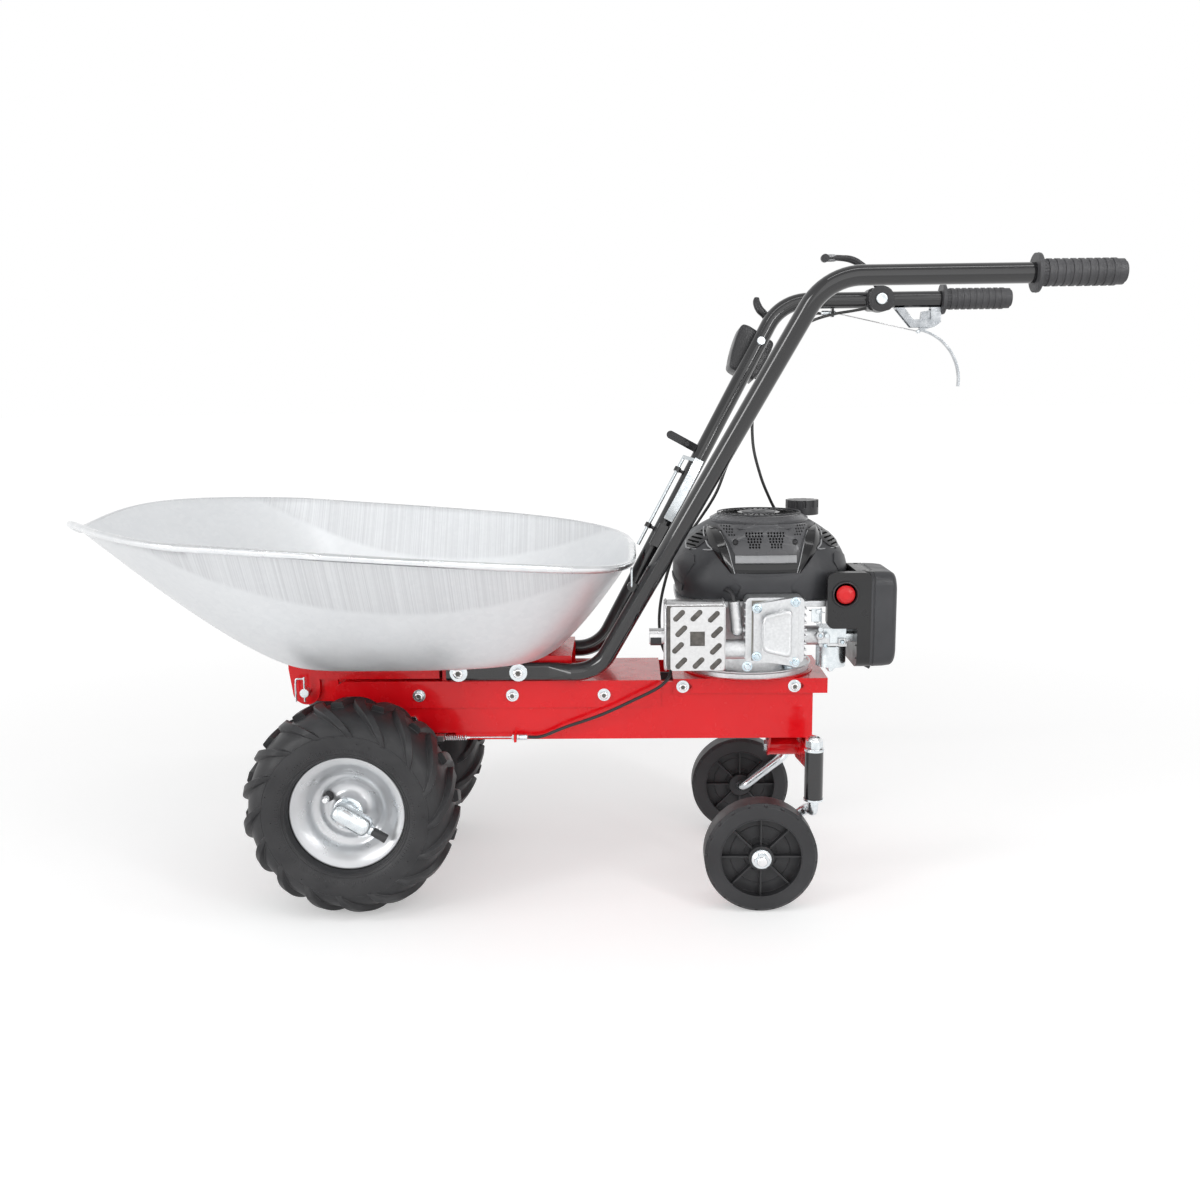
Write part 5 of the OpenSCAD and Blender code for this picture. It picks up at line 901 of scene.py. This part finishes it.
def wheel(side, name):
    body, tyre, rim = name + "_wheel", name + "_tyre", name + "_rim"
    out = Y * side
    for radius, thick in WALL_RINGS:
        hoop(AXLE + out * ring_at(side, radius, tyre), radius, thick)
    ends = [(r, ring_at(side, r, tyre)) for r in RIB_RADII]
    for a in around(WALL_RIBS):
        sweep([AXLE + upright(a) * r + out * y for r, y in ends], 0.7, 6)
    for k, a in enumerate(around(VENT_HAIRS)):
        at = wall_hit(tyre, side, 118 + 9 * sin(3.7 * k), a + 0.09 * sin(5 * k))
        if at:
            sweep([at, at + out * 2.2, at + out * 4.2 + Vector((0.8 * cos(7 * k), 0, 0.8))], 0.45, 6)
    piece(name + "_sidewall_mould", TYRE, body, smooth=50)
    # Valve with its rubber foot and cap
    at = touch(rim, AXLE + Vector((-34, side * CLEAR_Y, 18)), (0, -side, 0))
    lathe(at, out, [(-1, 8.6), (0.5, 8.4), (2.4, 6.6), (7, 5.4)], 28)
    piece(name + "_valve_foot", RUBBER, body)
    hex_head(at + out * 2, out, 11, 3.2)
    lathe(at, out, [(5, 4.2), (12, 4.2)] + VALVE_CAP + [(22.4, 3.8)], 24)
    piece(name + "_valve", CHROME, body)
    # Freewheel lock: rounded sleeve, flange and two screws
    lock = AXLE + out * LOCK_Y
    lathe(lock, LOCK_WAY, LOCK_SLEEVE, 48)
    lathe(lock, out, LOCK_FLANGE, 48)
    for x, z in ((-3, 20), (-9, -18.5)):
        hex_head(lock + Vector((x, side * -13, z)), out, 9, 6)
    piece(name + "_lock_sleeve", ZINC, body, replaces=name + "_wheel_lock")
    # Flared end of the pin's knob
    lathe(lock + LOCK_WAY * 46.3, LOCK_WAY, PIN_KNOB, 28)
    piece(name + "_pin_knob", RUBBER, name + "_lock_pin", smooth=45)
    # Tyre and rim last, because the pieces above were set on the CAD's own faces
    tyre_shape(side, name)
    lathe(AXLE + out * WHEEL_Y, out, RIM_LOOP, 144, closed=True)
    piece(name + "_rim_dish", SILVER, body, replaces=rim, smooth=42)


# Casters: web mouldings, flanged nuts and stud ends
CASTER_X, CASTER_Y, CASTER_Z = 309, 172, 86
SWIVEL_X, SWIVEL_Z = 389, 249.3


def caster(side, name):
    out = Y * side
    hub = Vector((CASTER_X, side * CASTER_Y, CASTER_Z))
    for radius, thick, face in ((61.5, 1.0, 21), (46, 0.9, 3)):
        for turn in (1, -1):
            hoop(hub + out * face * turn, radius, thick)
    for turn in (1, -1):
        for a in around(8, 0.5):
            sweep([hub + upright(a + d) * 26 + out * 3.2 * turn for d in (-0.24, -0.12, 0, 0.12, 0.24)], 0.8, 6)
    piece(name + "_caster_mould", CASTER, name + "_caster_wheel", smooth=50)
    lathe(hub + out * 21.4, out, [(0, 14.2), (1.1, 14.8), (2.6, 14.0), (4.2, 11.0)], 40)
    lathe(hub + out * 33.4, out, [(-1.0, 8.0), (1.2, 8.0), (2.6, 7.0), (3.2, 5.0)], 28)
    top = Vector((SWIVEL_X, side * CASTER_Y, SWIVEL_Z))
    lathe(top, Z, [(2.9, 14.4), (4.4, 14.8), (5.4, 13.2)], 40)
    lathe(top, Z, [(15.8, 12.4), (18.6, 11.6), (21.2, 9.6), (23.0, 6.4), (23.8, 2.5)], 36)
    piece(name + "_caster_nuts", CHROME, name + "_caster_fork", smooth=45)


for side, name in SIDES:
    wheel(side, name)
    caster(side, name)


# Bolt heads: crowned rims, and on the heads of the frame thin dark hexagons of painted shade where the sockets
# are
BOLTS = [("foot_bolts", 353.8, 7.6, (-157, -63)), ("frame_bolts", 315, 6.2, (-222, -74, 71)),
         ("frame_bolts", 328, 6.2, (195, 370))]
BOLT_RIM = [(-0.6, 1), (0.5, 0.96), (1.0, 0.84), (1.1, 0.62), (0.2, 0.56)]
# Thin dark hexagon proud of the head: painted shade of the socket
BOLT_SHADE = [(0.1, 0.56), (0.35, 0.55)]


def bolt_heads():
    found = []
    for node, z, r, places in BOLTS:
        for x in places:
            for side in (-1, 1):
                found.append((touch(node, (x, side * 400, z), (0, -side, 0)), Y * side, r))
    for profile, n, name, look, smooth in ((BOLT_RIM, 36, "bolt_rims", CHROME, 45),
                                           (BOLT_SHADE, 6, "bolt_socket_shade", SHADE_STEEL, 35)):
        for at, out, r in found:
            if at:
                lathe(at, out, [(h, r * share) for h, share in profile], n)
        piece(name, look, smooth=smooth)


bolt_heads()


# Engine: hoses, linkage, carburettor, rocker cover, fins, muffler seams and deflector
BOWL_X, BOWL_Y = 425, -86
ROCKER_MID = Vector((331.5, 430))
ROCKER_CORNERS = [Vector(q) for q in ((309, 403), (352, 393), (352, 467), (309, 457))]
ROCKER_STEPS = [(1.02, -0.5), (1.0, 0.6), (0.97, 1.9), (0.92, 2.6), (0.86, 2.7), (0.84, 2.2), (0.80, 2.0),
                (0.4, 2.0)]
BASE_X, MUFFLER_Y, MUFFLER_Z = 303, -131, 421


def engine():
    sweep(spline([(270, -131, 470), (268, -127, 480), (262, -112, 486), (254, -92, 482)], 8), 3.4, 14)
    sweep(spline([(447, -62, 470), (449, -70, 452), (444, -84, 436), (432, -92, 424), (425, -90, 416)], 8),
          4.0, 14)
    piece("engine_hoses", RUBBER, smooth=60)
    sweep(spline([(404, -116, 458), (404, -118, 440), (407, -116, 424), (412, -112, 416)], 6), 1.1, 8)
    sweep(spline([(388, -104, 452), (398, -112, 452), (410, -114, 450)], 6), 1.0, 8)
    sweep([(394 + 0.4 * k / 3, -110 + 2.2 * cos(k * 0.7), 436 + 2.2 * sin(k * 0.7)) for k in range(60)], 0.5, 6)
    for x, z in ((400, 452), (404, 424), (414, 414)):
        lathe((x, -117, z), Y, [(0, 3.2), (0.5, 3.8), (2.6, 3.8)], 20)
    block((398, -113, 446), (16, 1.6, 20))
    piece("governor_linkage", ZINC, bevel=0.3)
    # Carburettor: rolled bowl edge, drain, flange and screws
    bowl = [(-2.0, 12), (0, 18), (3, 21.6), (9, 22.4), (28, 22.4), (30.5, 23.4), (33, 23.4)]
    lathe((BOWL_X, BOWL_Y, 362), Z, bowl, 44)
    lathe((BOWL_X, BOWL_Y, 352), Z, [(0, 3.4), (1, 4.4), (4.5, 4.4), (5.2, 6.6), (6.4, 6.6), (10.5, 7.6)], 24)
    piece("carburettor_bowl", ZINC, smooth=40)
    block((BOWL_X, BOWL_Y, 398), (44, 42, 6))
    block((410, -108, 408), (18, 8, 14))
    block((438, -109, 404), (12, 6, 10))
    lathe((404, -108, 414), -Y, [(0, 7), (5, 7), (6.5, 5.5)], 24)
    piece("carburettor_castings", ALLOY, bevel=1.2)
    for x, z in ((404, 414), (438, 404), (412, 398)):
        lathe((x, -113, z), -Y, [(0, 3.4), (1.6, 3.4), (2.6, 2.4)], 18)
    piece("carburettor_screws", BLUE_ZINC)
    # Gasket behind the rocker cover, washers under its screws
    block((330, -149.6, 430), (70, 1.2, 92))
    piece("rocker_gasket", GASKET, bevel=0.3)
    for x, z in ((301.62, 393.5), (358.4, 384.4), (358.4, 475.6), (301.6, 466.5)):
        lathe((x, -164, z), -Y, [(0, 7.6), (1.1, 7.6), (1.5, 6.9)], 30)
        hex_head((x, -165, z), -Y, 8.4, 5.2)
    hex_head((289, -150, 375), -Y, 9, 5)
    lathe((289, -149, 375), -Y, [(-6, 6), (0, 8), (1.2, 8), (1.6, 7.2)], 28)
    piece("engine_hex_screws", BLUE_ZINC, bevel=0.3)
    # Fins of the head, and the raised panel of the rocker cover
    for k in range(9):
        block((331.5, -131, 388 + 10.5 * k), (94, 31, 2.4))
    piece("head_fins", ALLOY, bevel=0.7)
    face = touch("rocker_cover", (330, -300, 430), (0, 1, 0))
    loop = []
    for i, q in enumerate(ROCKER_CORNERS):
        a, b = (q + (p - q).normalized() * 9 for p in (ROCKER_CORNERS[i - 1], ROCKER_CORNERS[(i + 1) % 4]))
        loop += [a * (1 - t) ** 2 + q * 2 * t * (1 - t) + b * t * t for t in (0, 0.2, 0.4, 0.6, 0.8, 1)]
    rings = []
    for grow, out in ROCKER_STEPS:
        spread = [ROCKER_MID + (q - ROCKER_MID) * grow for q in loop]
        rings.append([Vector((q.x, face.y - out, q.y)) for q in spread])
    skin(rings)
    piece("rocker_panel", ALLOY, smooth=55)
    hoop((BASE_X, 0, 353), 101.2, 1.4, Z, 96)
    piece("engine_base_bead", ALLOY, smooth=50)
    lathe((BASE_X, 0, 340.2), Z, [(0, 106), (1.2, 106.4), (2.6, 105.2), (3.0, 100.2)], 96)
    piece("engine_seat_ring", RED, smooth=40)
    # Muffler: crimped seams, a dark sheet of painted shade behind the guard's slots, deflector under the outlet
    for x in (166.5, 253.5):
        centre = Vector((x, MUFFLER_Y, MUFFLER_Z))
        rings = []
        for q in rounded(centre, 7, 39, 14.4, 8):
            out = (q - centre).normalized()
            rings.append([q + out * (1.5 * cos(b)) + X * (1.5 * sin(b)) for b in around(8)])
        skin(rings, closed=True)
    piece("muffler_seams", BRUSHED, smooth=60)
    # Thin dark sheet of painted shade behind the guard's slots
    block((210, -155.6, MUFFLER_Z), (84, 0.8, 98))
    piece("guard_shadow", SHADE_STEEL, bevel=0.3)
    half_turn = [pi + pi * k / 20 for k in range(21)]
    skin([[Vector((143.4 + h, MUFFLER_Y + r * cos(a), 419 + r * sin(a))) for a in half_turn]
          for h, r in ((0, 12.4), (0, 14.2), (16.5, 14.2), (16.5, 12.4))], closed=True, wrap=False)
    piece("muffler_deflector", PLASTIC, smooth=40)


engine()


# Console: moulded housing with a swelled back, in the slope's frame
SLOPE, AHEAD = Vector((0.468736, 0.229257, 0.85307)), Vector((-0.876412, 0, 0.481562))
INWARD = Vector((0.110401, -0.973366, 0.200924))
CONSOLE_AT = Vector((329.842, 257.783, 843.076))
CONSOLE_FRONT = [(-22, -39), (-27, -20), (-27, 22), (-24, 37)]
CONSOLE_BACK = [(-12, 40), (10, 42), (30, 43), (40, 38), (40, 20), (36, -4), (30, -26), (24, -38), (6, -40)]
CONSOLE_EDGE = [(22, 4.0), (21, 1.8), (19, 0.5), (16, 0.0)]


def on_slope(x, y, z):
    return CONSOLE_AT + AHEAD * x + INWARD * y + SLOPE * z


def console():
    outline = spline([(x, z, 0) for x, z in CONSOLE_FRONT + CONSOLE_BACK + CONSOLE_FRONT[:1]], 5)[:-1]
    rings = []
    for y, inset in [(-y, inset) for y, inset in CONSOLE_EDGE] + CONSOLE_EDGE[::-1]:
        shrink = 1 - inset / 27
        rings.append([on_slope(q.x * shrink, y, q.y * shrink) for q in outline])
    skin(rings)
    piece("console_shell", PLASTIC, replaces="control_console", smooth=40)
    turn = Matrix((AHEAD, INWARD, SLOPE)).transposed()
    # The gear slot is a thin near-black block of painted shade
    block(on_slope(-2, 0, 39.9), (32, 12, 1.6), turn)
    piece("console_slot", PAINTED_SHADE, bevel=0.5)
    for y in (-8.4, 8.4):
        block(on_slope(-27, y, 0), (2, 3, 56), turn)
    for z in (-24, 24):
        lathe(on_slope(-3, -21.6, z), -INWARD, [(-1, 4.2), (0.8, 4.2), (1.4, 3.4)], 24)
    piece("console_ribs", PLASTIC, bevel=0.6)
    grip = spline([on_slope(x, 0, z) for x, z in ((4, 74), (12, 80), (24, 84), (34, 92), (38, 100))], 6)
    sweep(grip, lambda u: 5.6 + 1.8 * sin(pi * u) - 1.2 * u ** 6, 16)
    piece("gear_grip", PLASTIC, "gear_lever", smooth=50)


console()


# Handle details: throttle's centre cap, arm and thumb pad, grip mouldings
HANDLE_Y, HANDLE_Z, THROTTLE_Y = 246, 938, 221.2


def handles():
    cap = touch("throttle_lever", (557, 0, HANDLE_Z), (0, 1, 0))
    disc = [(-1, 9.6), (0.6, 9.6), (1.4, 8.9), (1.8, 6.0), (1.0, 4.0), (1.0, 1.0)]
    lathe((551, cap.y, HANDLE_Z), -Y, disc, 40)
    piece("throttle_cap", ZINC, "throttle_lever", smooth=40)
    arm = [(548, 956), (536, 974), (519, 993), (498, 1004), (476, 1007.5), (458, 1007)]
    sweep(spline([(x, THROTTLE_Y, z) for x, z in arm], 6), lambda u: 6.8 - 2.2 * u, 16)
    piece("throttle_arm", PLASTIC, "throttle_lever", smooth=60)
    thumb = [(0, 3.0), (2, 5.4), (6, 6.3), (13, 6.4), (19, 6.0), (24, 4.6), (26.5, 2.0)]
    lathe((474, THROTTLE_Y, 1007.4), -X, thumb, 28)
    piece("throttle_thumb", TRIM_AND_HIGHLIGHT, "throttle_lever", smooth=60)
    for y in (-HANDLE_Y, HANDLE_Y):
        hoop((663.5, y, HANDLE_Z), 25.2, 1.3, X, 60)
        hoop((777.6, y, HANDLE_Z), 13.6, 1.2, X, 48)
        for a in around(24):
            off = Vector((0, cos(a), sin(a))) * 17.1
            sweep([Vector((x, y, HANDLE_Z)) + off for x in (669, 676)], 0.7, 6)
    piece("grip_mouldings", GRIP, smooth=50)


handles()

# Studio: pale floor that fades to white away from the object, white surround and soft lamps
FLOOR_TONE, FLOOR_GLOW, FADE_FROM, FADE_TO = 0.80, 0.34, 1.0, 2.4
SURROUND, ZENITH, SKY_LOW, SKY_HIGH = 0.62, 0.66, 0.15, 0.95
bmesh.ops.create_grid(DRAFT, x_segments=1, y_segments=1, size=40)
ground = bpy.data.meshes.new("floor")
DRAFT.to_mesh(ground)
DRAFT.free()
floor = stand("floor", ground)
floor.location = (0, 0, -0.0005)
look = Look("floor", spec=0.1)
look.put(look.shader["Roughness"], 0.7)
look.put(look.shader["Emission Color"], (1, 1, 1, 1))
span = look.add("VectorMath", {0: look.place}, operation="LENGTH")["Value"]
fade = look.spread(span, FADE_FROM, FADE_TO)
look.color(look.mix(fade, (FLOOR_TONE, FLOOR_TONE, FLOOR_TONE), (0, 0, 0)))
seen = look.add("LightPath")
shown = look.math("MAXIMUM", seen["Is Camera Ray"], seen["Is Glossy Ray"])
glow = look.math("ADD", FLOOR_GLOW, look.math("MULTIPLY", fade, 1 - FLOOR_GLOW))
look.put(look.shader["Emission Strength"], look.math("MULTIPLY", shown, glow))
ground.materials.append(look.done())

scene.world = bpy.data.worlds.new("world")
scene.world.use_nodes = True
sky = Nodes(scene.world.node_tree)
light = sky.add("LightPath")
backdrop = sky.tree.nodes["Background"].inputs
sky.put(backdrop["Color"], (1, 1, 1, 1))
height = sky.axis(sky.add("TexCoord")["Generated"], "Z")
lift = sky.spread(height, SKY_LOW, SKY_HIGH, 1 - SURROUND, ZENITH - SURROUND)
view = sky.math("MAXIMUM", light["Is Camera Ray"], light["Is Transmission Ray"])
strength = sky.math("ADD", sky.math("MULTIPLY", view, 1 - SURROUND), SURROUND)
shine = sky.math("MULTIPLY", light["Is Glossy Ray"], lift)
sky.put(backdrop["Strength"], sky.math("ADD", strength, shine))

LAMPS = [
    ("key", (-2.4, -2.2, 1.15), (0.1, 0, 0.5), 0.7, 2.2, 30),
    ("strip", (1.9, -2.0, 1.9), (0.3, 0, 0.6), 0.22, 2.4, 16),
    ("front", (0.9, -4.4, 1.4), (0, 0, 0.4), 5.6, 5.6, 56),
    ("top", (0.4, -0.9, 3.0), (0.3, 0, 0.6), 2.6, 0.22, 8),
]
for name, at, aim, wide, tall, power in LAMPS:
    data = bpy.data.lights.new(name, "AREA")
    data.shape, data.size, data.size_y, data.energy = "RECTANGLE", wide, tall, power
    lamp = stand(name, data)
    lamp.location = at
    lamp.rotation_euler = (Vector(aim) - Vector(at)).to_track_quat("-Z", "Y").to_euler()
